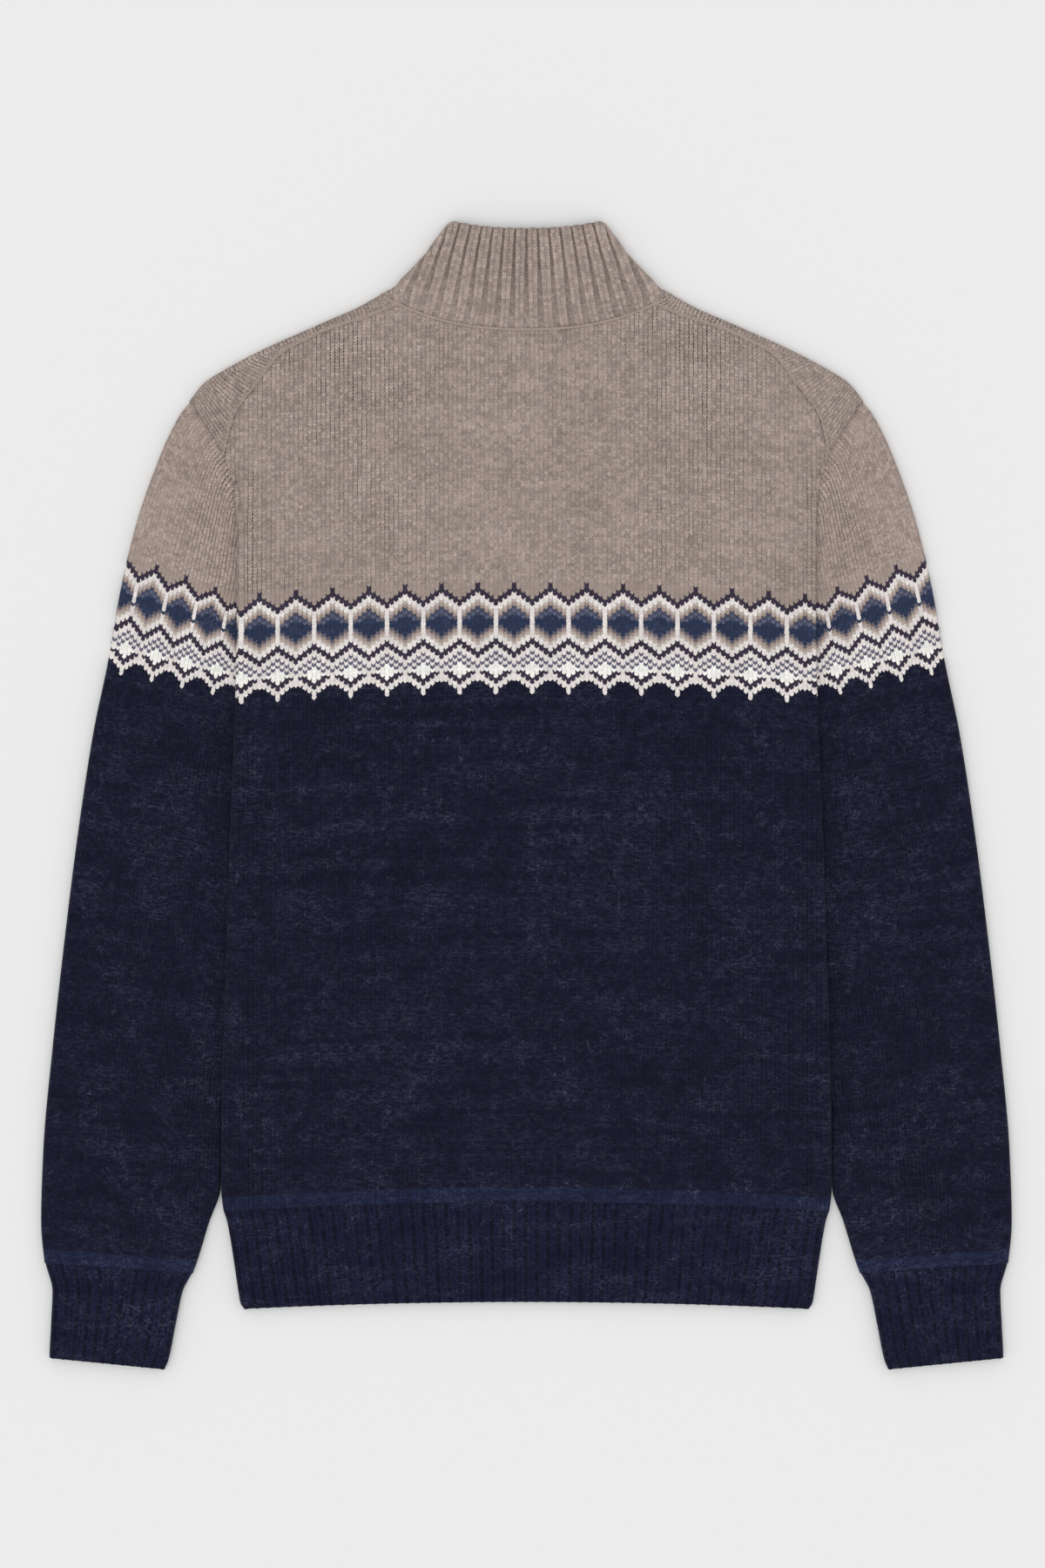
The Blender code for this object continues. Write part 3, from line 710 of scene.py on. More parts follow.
def evenly(points, parts):
    """Points at given parts of the length of a line of points."""
    steps = np.hypot(*np.diff(points[:, :2], axis=0).T)
    steps = np.hypot(steps, np.diff(points[:, 2]))
    total = np.concatenate(([0], np.cumsum(steps)))
    return np.stack([np.interp(parts * total[-1], total, points[:, k]) for k in range(3)], axis=-1)


def rib_profile(rib, furrow, soft):
    """Height across a rib from -1 in its furrow to 1 on its flat top; a furrow is at each whole number."""
    off = np.abs(rib - np.round(rib))
    return 2 * ease((off - 0.5 * furrow + soft) / (2 * soft)) - 1


def relief_along_normals(points, height):
    """Moves the points of a closed ring surface along its normals."""
    across = np.roll(points, -1, axis=1) - np.roll(points, 1, axis=1)
    down = np.gradient(points, axis=0)
    normal = np.cross(across, down)
    normal /= np.linalg.norm(normal, axis=-1, keepdims=True)
    return points + normal * height[..., None]


def collar_surface(rib):
    half = rib.neck_ribs / 2
    index = np.linspace(0, half, int(half * rib.steps) + 1)
    count = np.concatenate((index, 2 * half - index[-2:0:-1]))
    low = NECK_WALL / 2 + rib.neck_depth / 2 + RING_LIFT
    q = np.linspace(0, 1, COLLAR_POINTS)
    turn = np.linspace(0, np.pi, 25)
    rings = []
    for part in COLLAR_PARTS:
        side, outward, radius = collar_tangent(part)
        side_x = (side + (radius + NECK_RIB / 2) * outward)[0]
        high = collar_top_z(part)
        radius = (high - low) / 2
        back_y = NECK_BACK_Y - SEAM_LAP + part * (COLLAR_TOP_BACK_Y + SEAM_LAP - NECK_BACK_Y)
        front_y = NECK_FRONT_Y + part * (COLLAR_TOP_FRONT_Y - NECK_FRONT_Y)
        bulge = COLLAR_BULGE * ease(part * 1.5) * (1 - q ** 2)
        rolled = TOP_ROLL * max(0, (part - ROLL_FROM) / (1 - ROLL_FROM)) ** 2
        back = np.column_stack((*neckline(q, side, back_y), high + bulge - rolled))
        drop = rolled * (1 + np.cos(turn)) / 2
        fold = np.column_stack((side + radius * np.sin(turn)[:, None] * outward,
                                low + radius * (1 + np.cos(turn)) - drop))
        front = np.column_stack((*neckline(q[::-1], side, front_y), np.full(len(q), low)))
        edge_rib = EDGE_RIB_BASE + part * (EDGE_RIB_TOP - EDGE_RIB_BASE)
        t = index[index <= edge_rib] / edge_rib
        leaning = COLLAR_SIDE[0][0] + (COLLAR_SIDE[-1][0] - COLLAR_SIDE[0][0]) * part ** RIB_LEAN
        t *= leaning / side_x * (1 - t ** 3) + t ** 3
        near = evenly(np.concatenate((back, fold[1:13])), t)
        far = evenly(np.concatenate((fold[12:], front[1:])),
                     (index[index > edge_rib] - edge_rib) / (half - edge_rib))
        right = np.concatenate((near, far))
        rings.append(np.concatenate((right, right[-2:0:-1] * (-1, 1, 1))))
    part = COLLAR_PARTS[:, None]
    ends = ease(part * 14 + 0.15) * ease((1 - part) * 22 + 0.1)
    furrow = rib.base_furrow + (rib.top_furrow - rib.base_furrow) * ease(part * 1.1)
    depth = rib.neck_depth / 2 * (0.42 + 0.58 * ease(part * 1.4))
    height = rib_profile(count, furrow, 0.09) * depth * ends
    return relief_along_normals(np.array(rings), height), stitches_of(count, (1 - part) * COLLAR_ROWS)


def stitches_of(count, rows):
    """Stitches and rows of a rib, from the count of ribs round it and a column of rows."""
    return np.stack(np.broadcast_arrays(count * RIB_STITCHES, rows), axis=-1)


def single_rib(rings, rows, count, rib, outward):
    """Hem or cuff: the rings with their furrows, and stitches and rows."""
    part = np.linspace(0, 1, len(rings))[:, None]
    ends = ease(part * 12 + 0.2) * ease((1 - part) * 14 + 0.4)
    height = rib_profile(count, rib.furrow, 0.1) * rib.rib_depth / 2 * ends
    return relief_along_normals(np.array(rings), outward * height), stitches_of(count, rows[:, None])


def hem_surface(rib):
    half = rib.hem_ribs // 2
    count = np.arange(2 * half * rib.steps) / rib.steps
    low = RIB / 2 + RING_LIFT
    q = np.linspace(-1, 1, HEM_POINTS)
    turn = np.linspace(0, np.pi, 13)[1:-1]
    parts = np.linspace(0, 1, HEM_RINGS) ** 0.9
    rings = []
    for part in parts:
        middle_y = HEM_SEAM_Y + SEAM_LAP + part * (HEM_END_Y - SEAM - HEM_SEAM_Y - SEAM_LAP)
        drop = HEM_DROP + part * (HEM_END_DROP - HEM_DROP)
        tangent = float(curve(HEM_ROWS, part)) - SIDE_FOLD - RIB_WALL / 2
        flat_y = middle_y - drop * q * q
        right = np.column_stack((tangent + SIDE_FOLD * np.sin(turn), np.full(len(turn), flat_y[-1]),
                                 low + SIDE_FOLD * (1 + np.cos(turn))))
        top = np.column_stack((q * tangent, flat_y, np.full(len(q), low + 2 * SIDE_FOLD)))
        under = np.column_stack((q[::-1] * tangent, flat_y, np.full(len(q), low)))
        ring = np.concatenate((top, right, under, right[::-1] * (-1, 1, 1), top[:1]))
        ring = evenly(ring, count / (2 * half))
        on_top = ring[:, 2] > low + 1.9 * SIDE_FOLD
        ring[:, 2] += np.where(on_top, ripple(ring[:, 0] * 0.9 + 40, ring[:, 1] * 2, HEM_RIPPLE), 0)
        rings.append(ring)
    return single_rib(rings, parts * HEM_COURSES, count, rib, 1)


def cuff_surface(rib):
    count = np.arange(rib.cuff_ribs * rib.steps) / rib.steps
    parts = np.linspace(0, 1, CUFF_RINGS)
    q = np.linspace(0, 1, CUFF_POINTS)
    rings = []
    for part in parts:
        ring = tube_ring(*sleeve_line(part, CUFF_ROWS), 0, RIB, q, 12)[0]
        rings.append(evenly(np.concatenate((ring, ring[:1])), count / rib.cuff_ribs))
    return single_rib(rings, parts * CUFF_COURSES, count, rib, -1)


# Making cloth of a surface

def add_cloth(name, points, stitches, thickness, material, ring=False, side=1, keep=None):
    """A cloth wall with the surface in its middle, a smooth finish and a UV map of stitches and rows."""
    count, columns = points.shape[:2]
    r, c = np.meshgrid(np.arange(count - 1), np.arange(columns if ring else columns - 1), indexing="ij")
    if keep is not None:
        r, c = r[keep], c[keep]
    here, after = (r * columns + c).ravel(), (r * columns + (c + 1) % columns).ravel()
    faces = np.stack((here, after, after + columns, here + columns), axis=-1)
    uv = stitches.reshape(-1, 2)[faces]
    jump = np.abs(uv[:, 1, 0] - uv[:, 0, 0]) > LONGEST_STEP
    uv[jump, 1:3, 0] = uv[jump, 0:1, 0] + np.median(uv[:, 1, 0] - uv[:, 0, 0])
    place = points.reshape(-1, 3) * MM
    place[:, 0] *= side
    used, faces = np.unique(faces, return_inverse=True)
    mesh = bpy.data.meshes.new(name)
    mesh.from_pydata(place[used].tolist(), [], faces.reshape(-1, 4).tolist())
    mesh.uv_layers.new(name="stitches").data.foreach_set("uv", uv.reshape(-1).astype(np.float32))
    shape = bmesh.new()
    shape.from_mesh(mesh)
    bmesh.ops.recalc_face_normals(shape, faces=shape.faces)
    shape.to_mesh(mesh)
    shape.free()
    mesh.shade_smooth()
    mesh.materials.append(material)
    cloth = bpy.data.objects.new(name, mesh)
    bpy.context.scene.collection.objects.link(cloth)
    wall = cloth.modifiers.new("Cloth thickness", "SOLIDIFY")
    wall.thickness = thickness * MM
    wall.offset = 0
    return cloth


def stand_for(cloth, node):
    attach(cloth, "root")
    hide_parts(node)


# Materials

MAP_RANGE, NOISE, MIX = "ShaderNodeMapRange", "ShaderNodeTexNoise", "ShaderNodeMix"
COMBINE, VECTOR, SHADER = "ShaderNodeCombineXYZ", "ShaderNodeVectorMath", "ShaderNodeBsdfPrincipled"


def add_node(tree, kind, *feeds, **made):
    """Adds a node. kind is its type or a Math node's operation, and made holds its settings. feeds go to its
    inputs, in order or by name: each is a value, a socket or a node, whose first output is taken."""
    if kind.isupper():
        made["operation"] = kind
        kind = "ShaderNodeMath"
    node = tree.nodes.new(kind)
    for key, value in made.items():
        setattr(node, key, value)
    named = feeds[0] if feeds and isinstance(feeds[0], dict) else dict(enumerate(feeds))
    for key, value in named.items():
        if isinstance(value, bpy.types.Node):
            value = value.outputs[0]
        if isinstance(value, bpy.types.NodeSocket):
            tree.links.new(value, node.inputs[key])
        else:
            node.inputs[key].default_value = value
    return node


def new_material(name):
    """A material without nodes, and add_node for its tree."""
    material = bpy.data.materials.new(name)
    material.use_nodes = True
    material.node_tree.nodes.clear()
    return material, partial(add_node, material.node_tree)


def patterns(node, *names):
    """Noise that fills space, with the sizes of the table."""
    place = node("ShaderNodeTexCoord").outputs["Object"]
    for name in names:
        size, detail, roughness, distortion = PATTERNS[name]
        yield node(NOISE, {"Vector": place, "Scale": 1 / (size * MM), "Detail": detail,
                           "Roughness": roughness, "Distortion": distortion})


def stitch_map(node):
    xy = node("ShaderNodeSeparateXYZ", node("ShaderNodeUVMap", uv_map="stitches"))
    return xy.outputs[0], xy.outputs[1]


def knit_nodes(node, off, v, slant):
    """Row and height of a knit stitch from its offset (0 on the middle of a wale, 1 at its sides)."""
    climbed = node("MULTIPLY_ADD", off, slant, v)
    strand = node("SINE", node("MULTIPLY", node("FRACT", climbed), math.pi))
    leg = node("POWER", node("SINE", node("MULTIPLY", off, math.pi)), 0.7)
    side = node("SUBTRACT", 1, node("POWER", off, 3))
    height = node("MULTIPLY_ADD", strand, 0.3, node("MULTIPLY", leg, 0.25))
    return node("FLOOR", climbed), node("MULTIPLY_ADD", side, 0.45, height)


def fibre_nodes(node, u, v):
    """What makes wool uneven: tone about 1, strength of the painted shade in the furrows between wales, fuzz
    and pale fibres, and the stitch map with the wavering borders that loose fibres give stitches of different
    colours."""
    down_wales = node(COMBINE, u, node("MULTIPLY", v, 0.1))
    along_rows = node(COMBINE, node("MULTIPLY", u, 0.08), v)
    lying = node(COMBINE, node("MULTIPLY", u, 0.45), v)
    wale = node(NOISE, {"Vector": down_wales, "Scale": 1 / WALE_STREAK, "Detail": 2})
    course = node(NOISE, {"Vector": along_rows, "Scale": 1 / COURSE_STREAK, "Detail": 4, "Roughness": 0.6})
    speck = node(NOISE, {"Vector": lying, "Scale": 1 / SPECK, "Detail": 3, "Roughness": 0.65,
                         "Distortion": 0.6})
    names = ("fuzz", "cloud", "hair", "patch", "shade_mottle", "waver")
    fuzz, cloud, hair, patch, shade_mottle, waver = patterns(node, *names)
    hair = node(MAP_RANGE, node("ABSOLUTE", node("SUBTRACT", hair, 0.5)), 0.03, 0)
    hair = node("MULTIPLY", hair, node(MAP_RANGE, patch, 0.48, 0.6))
    pale = node("MULTIPLY", node(MAP_RANGE, speck, 0.46, 0.72), node(MAP_RANGE, course, 0.35, 0.65, 0.1, 1.5))
    pale = node("MULTIPLY_ADD", hair, 1.9, pale)
    pale = node("MULTIPLY", pale, node(MAP_RANGE, cloud, 0.35, 0.65, 0.45, 1.5))
    tone = node(MAP_RANGE, fuzz, 0.3, 0.7, 0.55, 1.45)
    for slow in (cloud, course):
        tone = node("MULTIPLY", tone, node(MAP_RANGE, slow, 0.3, 0.7, 0.94, 1.06))
    # Painted shade in the furrows between wales: its strength varies from wale to wale and patch to patch
    deep = node("MULTIPLY", node(MAP_RANGE, wale, 0.35, 0.65, 0.18, 0.66),
                node(MAP_RANGE, shade_mottle, 0.35, 0.65, 0.6, 1.5))
    waver = node("ShaderNodeSeparateXYZ", waver.outputs["Color"]).outputs
    u = node("MULTIPLY_ADD", node("SUBTRACT", waver[0], 0.5), 0.5, u)
    v = node("MULTIPLY_ADD", node("SUBTRACT", waver[1], 0.5), 0.8, v)
    return tone, deep, fuzz, pale, u, v


def stitch_tone(node, tone, u, row):
    """No two stitches take the light quite alike."""
    chance = node("ShaderNodeTexWhiteNoise", node(COMBINE, node("FLOOR", u), row), noise_dimensions="2D")
    return node("MULTIPLY", tone, node("MULTIPLY_ADD", chance, 0.38, 0.81))


def finish_wool(node, colour, tone, height, deep, fuzz, pale, relief):
    """Wool: rough, with a faint sheen of fibres, painted shade between its strands, and its stitches as bump.
    """
    # Painted shade and highlight: colour darkened where the stitches are low and lightened a little on their
    # tops
    lit = node("MULTIPLY", node("SUBTRACT", height, 0.75), deep)
    lit = node("MULTIPLY", node("ADD", lit, 1), tone)
    shade = node(VECTOR, {0: colour, "Scale": lit}, operation="SCALE")
    added = node(VECTOR, {0: settings("sweater_yarns").fibres[:3], "Scale": pale}, operation="SCALE")
    raised = node("MULTIPLY_ADD", fuzz, 0.7, height)
    bump = node("ShaderNodeBump", {"Strength": 0.8, "Distance": relief * MM, "Height": raised})
    shade = node(VECTOR, shade, added, operation="ADD")
    node("ShaderNodeOutputMaterial", node(SHADER, {
        "Base Color": shade, "Roughness": 0.95, "Specular IOR Level": 0.12, "Sheen Weight": 0.04,
        "Sheen Roughness": 0.45, "Normal": bump}))


def chart_nodes(node, chart, row, wale_at, colours):
    """The band's colour from the row and the place in the repeat: a ramp of yarns for each charted stitch."""
    at = node("DIVIDE", node("ADD", row, 0.5), CHART_ROWS)
    colour = None
    for stitch, runs in enumerate(chart):
        ramp = node("ShaderNodeValToRGB", at)
        ramp.color_ramp.interpolation = "CONSTANT"
        stops = ramp.color_ramp.elements
        begin = 0
        for k, run in enumerate(runs.split()):
            stop = stops[k] if k < 2 else stops.new(begin / CHART_ROWS)
            stop.position = begin / CHART_ROWS
            stop.color = colours[run[0]]
            begin += int(run[1:] or 0)
        if colour is None:
            colour = ramp
        else:
            here = node("COMPARE", wale_at, float(stitch), 0.4)
            colour = node(MIX, {0: here, 6: colour, 7: ramp}, data_type="RGBA").outputs[2]
    return colour


def stocking_stitch(name, chart, stripe_row, ground, furrows, top_furrows=TOP_FURROW_SHADE, side_shade=None):
    """Wool blend in stocking stitch: taupe, a stranded band, navy, and a tipping stripe over the rib. It
    looks soft and dry, with fine upright lines of painted shade in the furrows between wales.

    furrows holds two wales, counted from the middle or the outer edge, and the painted shade in the furrows
    at each.
    """
    knit, yarns = settings("sweater_knit"), settings("sweater_yarns")
    material, node = new_material(name)
    tone, deep, fuzz, pale, u, v = fibre_nodes(node, *stitch_map(node))
    off = node("ABSOLUTE", node("MULTIPLY_ADD", node("FRACT", u), 2, -1))
    row, height = knit_nodes(node, off, v, knit.slant)
    tone = stitch_tone(node, tone, u, row)
    place = node("FLOORED_MODULO", node("FLOOR", u), REPEAT)
    place = node("MINIMUM", place, node("SUBTRACT", REPEAT, place))
    colours = {letter: getattr(yarns, yarn) for letter, yarn in (YARN_OF | {"T": ground}).items()}
    colour = chart_nodes(node, chart, row, place, colours)
    above = node("LESS_THAN", row, -0.5)
    colour = node(MIX, {0: above, 6: colour, 7: colours["T"]}, data_type="RGBA").outputs[2]
    striped = node("GREATER_THAN", row, math.floor(stripe_row - STRIPE_ROWS) - 0.5)
    colour = node(MIX, {0: striped, 6: colour, 7: yarns.stripe}, data_type="RGBA").outputs[2]
    # Painted shade in the furrows between wales, as strong as the tables give for each wale and row
    wale = node("ABSOLUTE", u)
    deep = node("MULTIPLY", deep, node(MAP_RANGE, wale, *furrows))
    if side_shade:
        deep = node("MULTIPLY_ADD", node("COMPARE", wale, *side_shade), node(MAP_RANGE, v, *SIDE_SHADE_ROWS), deep)
    deep = node("MULTIPLY", deep, node(MAP_RANGE, v, *top_furrows))
    calm = node("MULTIPLY_ADD", node("COMPARE", row, *BAND_ROWS), STRANDED - 1, 1)
    deep = node("MULTIPLY", deep, calm)
    tone = node("MULTIPLY_ADD", node("SUBTRACT", tone, 1), calm, 1)
    finish_wool(node, colour, tone, height, deep, fuzz, pale, knit.relief)
    return material


def double_rib(name, yarn, furrows, tones, edge_highlight, line):
    """Wool blend in 2x2 rib: ribs of two knit wales with painted highlit edges, over purl furrows with
    painted shade.

    furrows and tones hold the furrow's width and the tone of its painted shade at row 0 and at the collar's
    last row, and line is how strong the painted shade in the line between the two wales is.
    """
    knit = settings("sweater_knit")
    material, node = new_material(name)
    u, v = stitch_map(node)
    tone, deep, fuzz, pale, waved_u, v = fibre_nodes(node, u, v)
    rib = node("FRACT", node("DIVIDE", u, RIB_STITCHES))
    half_rib = node(MAP_RANGE, v, 0, COLLAR_ROWS, *(0.5 * (1 - furrow) for furrow in furrows),
                    interpolation_type="SMOOTHSTEP")
    t = node("DIVIDE", node("ABSOLUTE", node("SUBTRACT", rib, 0.5)), half_rib)
    on_rib = node(MAP_RANGE, t, 1.15, 0.95, interpolation_type="SMOOTHSTEP")
    off = node("ABSOLUTE", node("MULTIPLY_ADD", t, 2, -1))
    off = node("MULTIPLY", node("MINIMUM", off, 1), on_rib)
    row, height = knit_nodes(node, off, v, knit.slant)
    # Painted highlight along the outer edges of each rib
    edge = node("SUBTRACT", t, 0.84)
    edge = node("EXPONENT", node("MULTIPLY", node("MULTIPLY", edge, edge), -32))
    # Painted shade in the furrows, with the tone given for row 0 and for the collar's last row
    furrow_tone = node(MAP_RANGE, v, 0, COLLAR_ROWS, *tones)
    dimmed = node("MULTIPLY_ADD", on_rib, node("SUBTRACT", 1, furrow_tone), furrow_tone)
    tone = stitch_tone(node, tone, waved_u, row)
    tone = node("MULTIPLY", tone, node("MULTIPLY_ADD", edge, edge_highlight, dimmed))
    deep = node("MULTIPLY", deep, line)
    colour = getattr(settings("sweater_yarns"), yarn)[:3]
    finish_wool(node, colour, tone, height, deep, fuzz, pale, knit.relief)
    return material


def linking_yarn(name, yarn):
    """Twisted wool yarn of the linked seams: matt, with a soft halo of fibres."""
    material, node = new_material(name)
    fuzz, = patterns(node, "twist")
    colour = getattr(settings("sweater_yarns"), yarn)[:3]
    # The plies vary in tone and on the whole run lighter than the yarn: painted light, so that the seams read
    # as pale bands
    shade = node(VECTOR, {0: colour, "Scale": node(MAP_RANGE, fuzz, 0.3, 0.7, 0.86, 1.28)}, operation="SCALE")
    bump = node("ShaderNodeBump", {"Strength": 0.5, "Distance": 0.2 * MM, "Height": fuzz})
    node("ShaderNodeOutputMaterial", node(SHADER, {
        "Base Color": shade, "Roughness": 0.9, "Specular IOR Level": 0.25, "Sheen Weight": 0.15,
        "Normal": bump}))
    return material


def matt_board(name, colour):
    """Painted board of a photo table: matt and even, with a faint grain so that it isn't a flat colour."""
    material, node = new_material(name)
    grain, = patterns(node, "grain")
    tone = node(MAP_RANGE, grain, 0, 1, 0.995, 1.005)
    shade = node(VECTOR, {0: colour[:3], "Scale": tone}, operation="SCALE")
    node("ShaderNodeOutputMaterial", node(SHADER, {
        "Base Color": shade, "Roughness": 1, "Specular IOR Level": 0}))
    return material


# Linked seams

def seam_tree():
    """Geometry Nodes: V-shaped yarn stitches along a path, each a little different."""
    tree = bpy.data.node_groups.new("linked_seam", "GeometryNodeTree")
    node = partial(add_node, tree)
    tree.interface.new_socket("Geometry", in_out="OUTPUT", socket_type="NodeSocketGeometry")
    kinds = {"Geometry": "Geometry", "Spacing": "Float", "Length": "Float", "Width": "Float",
             "Height": "Float", "Yarn": "Float", "Seed": "Int", "Material": "Material"}
    for name, kind in kinds.items():
        tree.interface.new_socket(name, in_out="INPUT", socket_type="NodeSocket" + kind)
    given = node("NodeGroupInput").outputs

    path = node("GeometryNodeMeshToCurve", given["Geometry"])
    points = node("GeometryNodeResampleCurve", {"Curve": path, "Length": given["Spacing"]}, mode="LENGTH")
    turn = node("FunctionNodeAlignRotationToVector", {"Vector": node("GeometryNodeInputTangent")}, axis="X",
                pivot_axis="Z")
    profile = node("GeometryNodeCurvePrimitiveCircle", {
        "Resolution": 7, "Radius": node("MULTIPLY", given["Yarn"], 0.5)})
    half = node("MULTIPLY", given["Length"], 0.5)
    stitch = node("GeometryNodeJoinGeometry")
    for hand in (-1, 1):
        start = node(COMBINE, node("MULTIPLY", half, -1), node("MULTIPLY", given["Yarn"], 0.3 * hand))
        middle = node(COMBINE, 0, node("MULTIPLY", given["Width"], 0.4 * hand),
                      node("MULTIPLY", given["Height"], 2))
        end = node(COMBINE, half, node("MULTIPLY", given["Width"], 0.5 * hand))
        arch = node("GeometryNodeCurveQuadraticBezier", {
            "Resolution": 6, "Start": start, "Middle": middle, "End": end})
        leg = node("GeometryNodeCurveToMesh", {"Curve": arch, "Profile Curve": profile, "Fill Caps": True})
        tree.links.new(leg.outputs[0], stitch.inputs[0])

    made = node("GeometryNodeInstanceOnPoints", {"Points": points, "Instance": stitch, "Rotation": turn})
    seed = given["Seed"]
    lean = node("FunctionNodeRandomValue", {0: (-0.12, -0.12, -0.2), 1: (0.12, 0.12, 0.2), "Seed": seed},
                data_type="FLOAT_VECTOR")
    made = node("GeometryNodeRotateInstances", {0: made, "Rotation": lean})
    size = node("FunctionNodeRandomValue", {0: (0.9, 0.85, 0.85), 1: (1.1, 1.15, 1.15), "Seed": seed},
                data_type="FLOAT_VECTOR")
    made = node("GeometryNodeScaleInstances", {0: made, "Scale": size})
    made = node("GeometryNodeSetShadeSmooth", node("GeometryNodeRealizeInstances", made))
    made = node("GeometryNodeSetMaterial", {0: made, "Material": given["Material"]})
    node("NodeGroupOutput", made)
    return tree


def add_linking(name, paths, tree, sizes, seed, material):
    """A joined mesh of the stitches along some paths of x, y, z."""
    points, edges = [], []
    for path in paths:
        edges += [(len(points) + k, len(points) + k + 1) for k in range(len(path) - 1)]
        points += (path * MM).tolist()
    mesh = bpy.data.meshes.new(name)
    mesh.from_pydata(points, edges, [])
    seam = bpy.data.objects.new(name, mesh)
    bpy.context.scene.collection.objects.link(seam)
    nodes = seam.modifiers.new("Linking", "NODES")
    nodes.node_group = tree
    values = {key: size * MM for key, size in sizes.items()} | {"Seed": seed, "Material": material}
    for item in tree.interface.items_tree:
        if item.in_out == "INPUT" and item.name in values:
            nodes[item.identifier] = values[item.name]
    evaluated = seam.evaluated_get(bpy.context.evaluated_depsgraph_get())
    made = bpy.data.meshes.new_from_object(evaluated)
    seam.modifiers.remove(nodes)
    seam.data = made
    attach(seam, "root")


# Operators

class SWEATER_OT_back(bpy.types.Operator):
    """Make the back panel with its creases"""
    bl_idname = "sweater.back"
    bl_label = "Back"

    def execute(self, context):
        knit = settings("sweater_knit")
        material = stocking_stitch("stocking_stitch_back", BODY_CHART, (BAND_TOP - HEM_SEAM_Y) / knit.row,
                                   "taupe", BODY_FURROW_SHADE, side_shade=SIDE_FURROW_SHADE)
        cloth = add_cloth("back_cloth", *all_rows(back_rows(knit)), KNIT, material)
        stand_for(cloth, "back")
        return {"FINISHED"}


class SWEATER_OT_front(bpy.types.Operator):
    """Make the front panel, which turns over the shoulders"""
    bl_idname = "sweater.front"
    bl_label = "Front"

    def execute(self, context):
        knit = settings("sweater_knit")
        material = stocking_stitch("stocking_stitch_front", BODY_CHART, (BAND_TOP - HEM_SEAM_Y) / knit.row,
                                   "taupe", FRONT_FURROW_SHADE)
        points, stitches, keep = front_surface(knit)
        cloth = add_cloth("front_cloth", points, stitches, KNIT, material, keep=keep)
        stand_for(cloth, "front")
        return {"FINISHED"}


class SWEATER_OT_sleeves(bpy.types.Operator):
    """Make the two sleeves"""
    bl_idname = "sweater.sleeves"
    bl_label = "Sleeves"

    def execute(self, context):
        knit = settings("sweater_knit")
        material = stocking_stitch("stocking_stitch_sleeves", SLEEVE_CHART, SLEEVE_COURSES[1][2],
                                   "sleeve_taupe_painted_light", SLEEVE_FURROW_SHADE, SLEEVE_TOP_FURROW_SHADE)
        for hand, side, table in (("right", 1, SLEEVE_CREASES), ("left", -1, LEFT_SLEEVE_CREASES)):
            points, stitches = all_rows(sleeve_rows(knit, table))
            cloth = add_cloth("sleeve_cloth_" + hand, points, stitches, KNIT, material, True, side)
            stand_for(cloth, "sleeve_" + hand)
        return {"FINISHED"}


class SWEATER_OT_collar(bpy.types.Operator):
    """Make the ribbed mock neck"""
    bl_idname = "sweater.collar"
    bl_label = "Collar"

    def execute(self, context):
        rib = settings("sweater_rib")
        furrows = (rib.top_furrow, rib.base_furrow)
        material = double_rib("double_rib_taupe", "rib_taupe", furrows, *COLLAR_LOOK)
        cloth = add_cloth("collar_cloth", *collar_surface(rib), NECK_WALL, material, True)
        stand_for(cloth, "collar")
        return {"FINISHED"}


class SWEATER_OT_ribs(bpy.types.Operator):
    """Make the hem rib and the cuffs"""
    bl_idname = "sweater.ribs"
    bl_label = "Hem and cuffs"

    def execute(self, context):
        rib = settings("sweater_rib")
        material = double_rib("double_rib_navy", "rib_navy", (rib.furrow, rib.furrow), *NAVY_RIB_LOOK)
        cloth = add_cloth("hem_cloth", *hem_surface(rib), RIB_WALL, material, True)
        stand_for(cloth, "hem_rib")
        for hand, side in (("right", 1), ("left", -1)):
            cloth = add_cloth("cuff_cloth_" + hand, *cuff_surface(rib), RIB_WALL, material, True, side)
            stand_for(cloth, "cuff_" + hand)
        return {"FINISHED"}


class SWEATER_OT_seams(bpy.types.Operator):
    """Make the linking stitches of the neck and shoulder seams"""
    bl_idname = "sweater.seams"
    bl_label = "Linked seams"

    def execute(self, context):
        seam = settings("sweater_seam")
        tree = seam_tree()
        material = linking_yarn("linking_yarn_taupe", "taupe")
        side, outward, radius = collar_tangent(0)
        x, y = neckline(np.linspace(0, 1, 41), side, NECK_BACK_Y)
        neck = np.column_stack((x, y - NECK_LINK_DOWN, np.full(len(x), MIDDLE_Z + KNIT / 2)))
        turn = np.linspace(0.1, 1, 8)
        reach = radius + KNIT / 2 - LINK_SUNK
        down = NECK_LINK_DOWN * np.array((outward[1], -outward[0]))
        round_side = np.column_stack((side + down + reach * np.sin(turn)[:, None] * outward,
                                      MIDDLE_Z - radius + reach * np.cos(turn)))
        neck = np.concatenate((neck, round_side))
        neck = np.concatenate((neck[:0:-1] * (-1, 1, 1), neck))
        sizes = {"Spacing": seam.spacing, "Length": seam.spacing * 1.25, "Width": 0.8, "Height": 0.15,
                 "Yarn": seam.yarn}
        add_linking("neck_linking", [neck], tree, sizes, seam.seed, material)

        line = shoulder_line(SEAM_POINTS)[0]
        line = np.column_stack((line, np.full(len(line), MIDDLE_Z + KNIT / 2 - 0.15)))
        sizes |= {"Width": 1.3, "Yarn": 1.35, "Height": 0.05, "Length": seam.spacing * 1.6}
        add_linking("shoulder_linking", [line, line * (-1, 1, 1)], tree, sizes, seam.seed + 1, material)
        return {"FINISHED"}


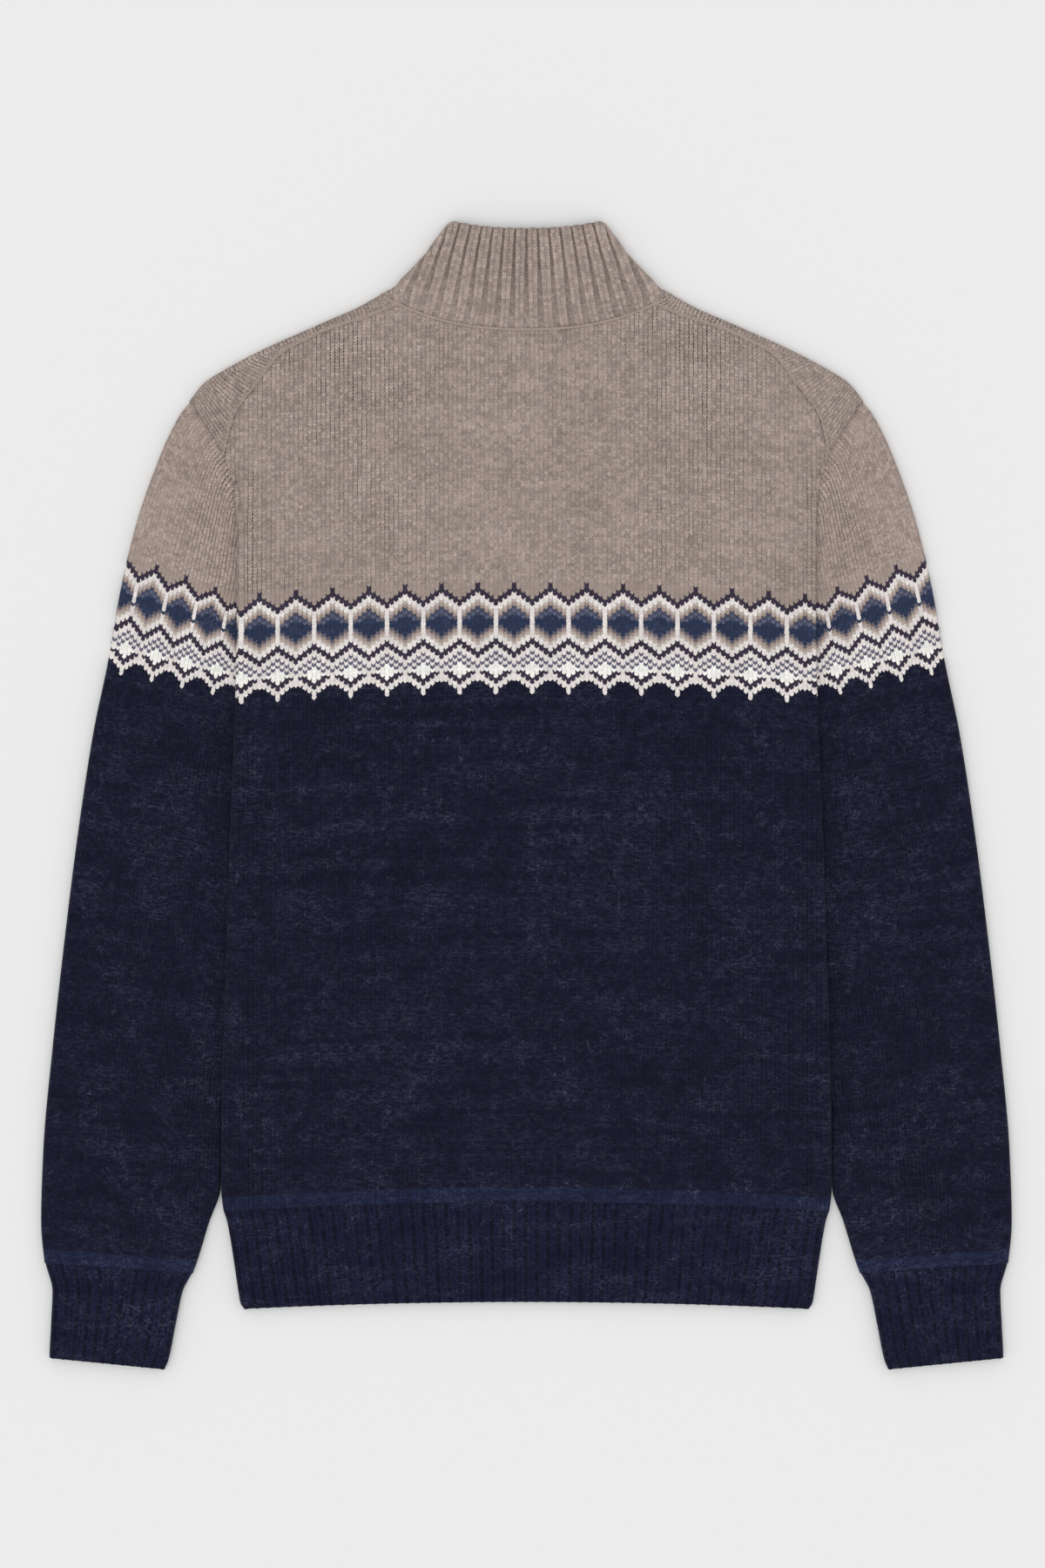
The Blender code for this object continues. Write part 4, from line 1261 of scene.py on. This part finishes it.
class SWEATER_OT_stage(bpy.types.Operator):
    """Make the floor, the light and the camera"""
    bl_idname = "sweater.stage"
    bl_label = "Stage"

    def execute(self, context):
        stage = settings("sweater_stage")
        scene = context.scene
        scene.view_settings.view_transform = "Standard"
        half = stage.floor_width * MM / 2
        mesh = bpy.data.meshes.new("floor")
        corners = ((-half, -half), (half, -half), (half, half), (-half, half))
        mesh.from_pydata([(x, y, -FLOOR_GAP * MM) for x, y in corners], [], [(0, 1, 2, 3)])
        mesh.materials.append(matt_board("matt_board", stage.floor))
        floor = bpy.data.objects.new("floor", mesh)

        scene.world = bpy.data.worlds.new("studio")
        scene.world.use_nodes = True
        background = scene.world.node_tree.nodes["Background"]
        background.inputs["Color"].default_value = stage.light
        background.inputs["Strength"].default_value = stage.sky

        light = bpy.data.lights.new("softbox", "SUN")
        light.energy = stage.lamp
        light.angle = stage.lamp_angle
        lamp = bpy.data.objects.new("softbox", light)
        lamp.rotation_euler = (LAMP_TILT, -LAMP_TILT, 0)

        lens = bpy.data.cameras.new("camera")
        lens.lens = stage.lens
        lens.sensor_width = SENSOR
        camera = bpy.data.objects.new("camera", lens)
        centre = np.array(stage.centre) * MM
        camera.location = (centre[0], centre[1], stage.height * MM * stage.lens / SENSOR)
        for thing in (floor, lamp, camera):
            scene.collection.objects.link(thing)
        scene.camera = camera
        return {"FINISHED"}


class SWEATER_PT_panel(bpy.types.Panel):
    """Lists the sweater's settings and pieces"""
    bl_idname = "SWEATER_PT_panel"
    bl_label = "Sweater"
    bl_space_type = "VIEW_3D"
    bl_region_type = "UI"
    bl_category = "Sweater"

    def draw(self, context):
        for name in GROUPS:
            box = self.layout.box()
            group = getattr(context.scene, name)
            for key in group.__annotations__:
                box.prop(group, key)
        for operator in OPERATORS:
            self.layout.operator(operator.bl_idname)


GROUPS = {
    "sweater_yarns": YarnColours,
    "sweater_knit": KnitSettings,
    "sweater_rib": RibSettings,
    "sweater_seam": SeamSettings,
    "sweater_stage": StageSettings,
}
OPERATORS = (
    SWEATER_OT_back, SWEATER_OT_front, SWEATER_OT_sleeves, SWEATER_OT_collar, SWEATER_OT_ribs,
    SWEATER_OT_seams, SWEATER_OT_stage,
)
CLASSES = (*GROUPS.values(), *OPERATORS, SWEATER_PT_panel)


def register():
    for kind in CLASSES:
        bpy.utils.register_class(kind)
    for name, group in GROUPS.items():
        setattr(bpy.types.Scene, name, PointerProperty(type=group))


def unregister():
    for name in GROUPS:
        delattr(bpy.types.Scene, name)
    for kind in reversed(CLASSES):
        bpy.utils.unregister_class(kind)


def main():
    register()
    bpy.ops.sweater.back()
    bpy.ops.sweater.front()
    bpy.ops.sweater.sleeves()
    bpy.ops.sweater.collar()
    bpy.ops.sweater.ribs()
    bpy.ops.sweater.seams()
    bpy.ops.sweater.stage()


if __name__ == "__main__":
    main()
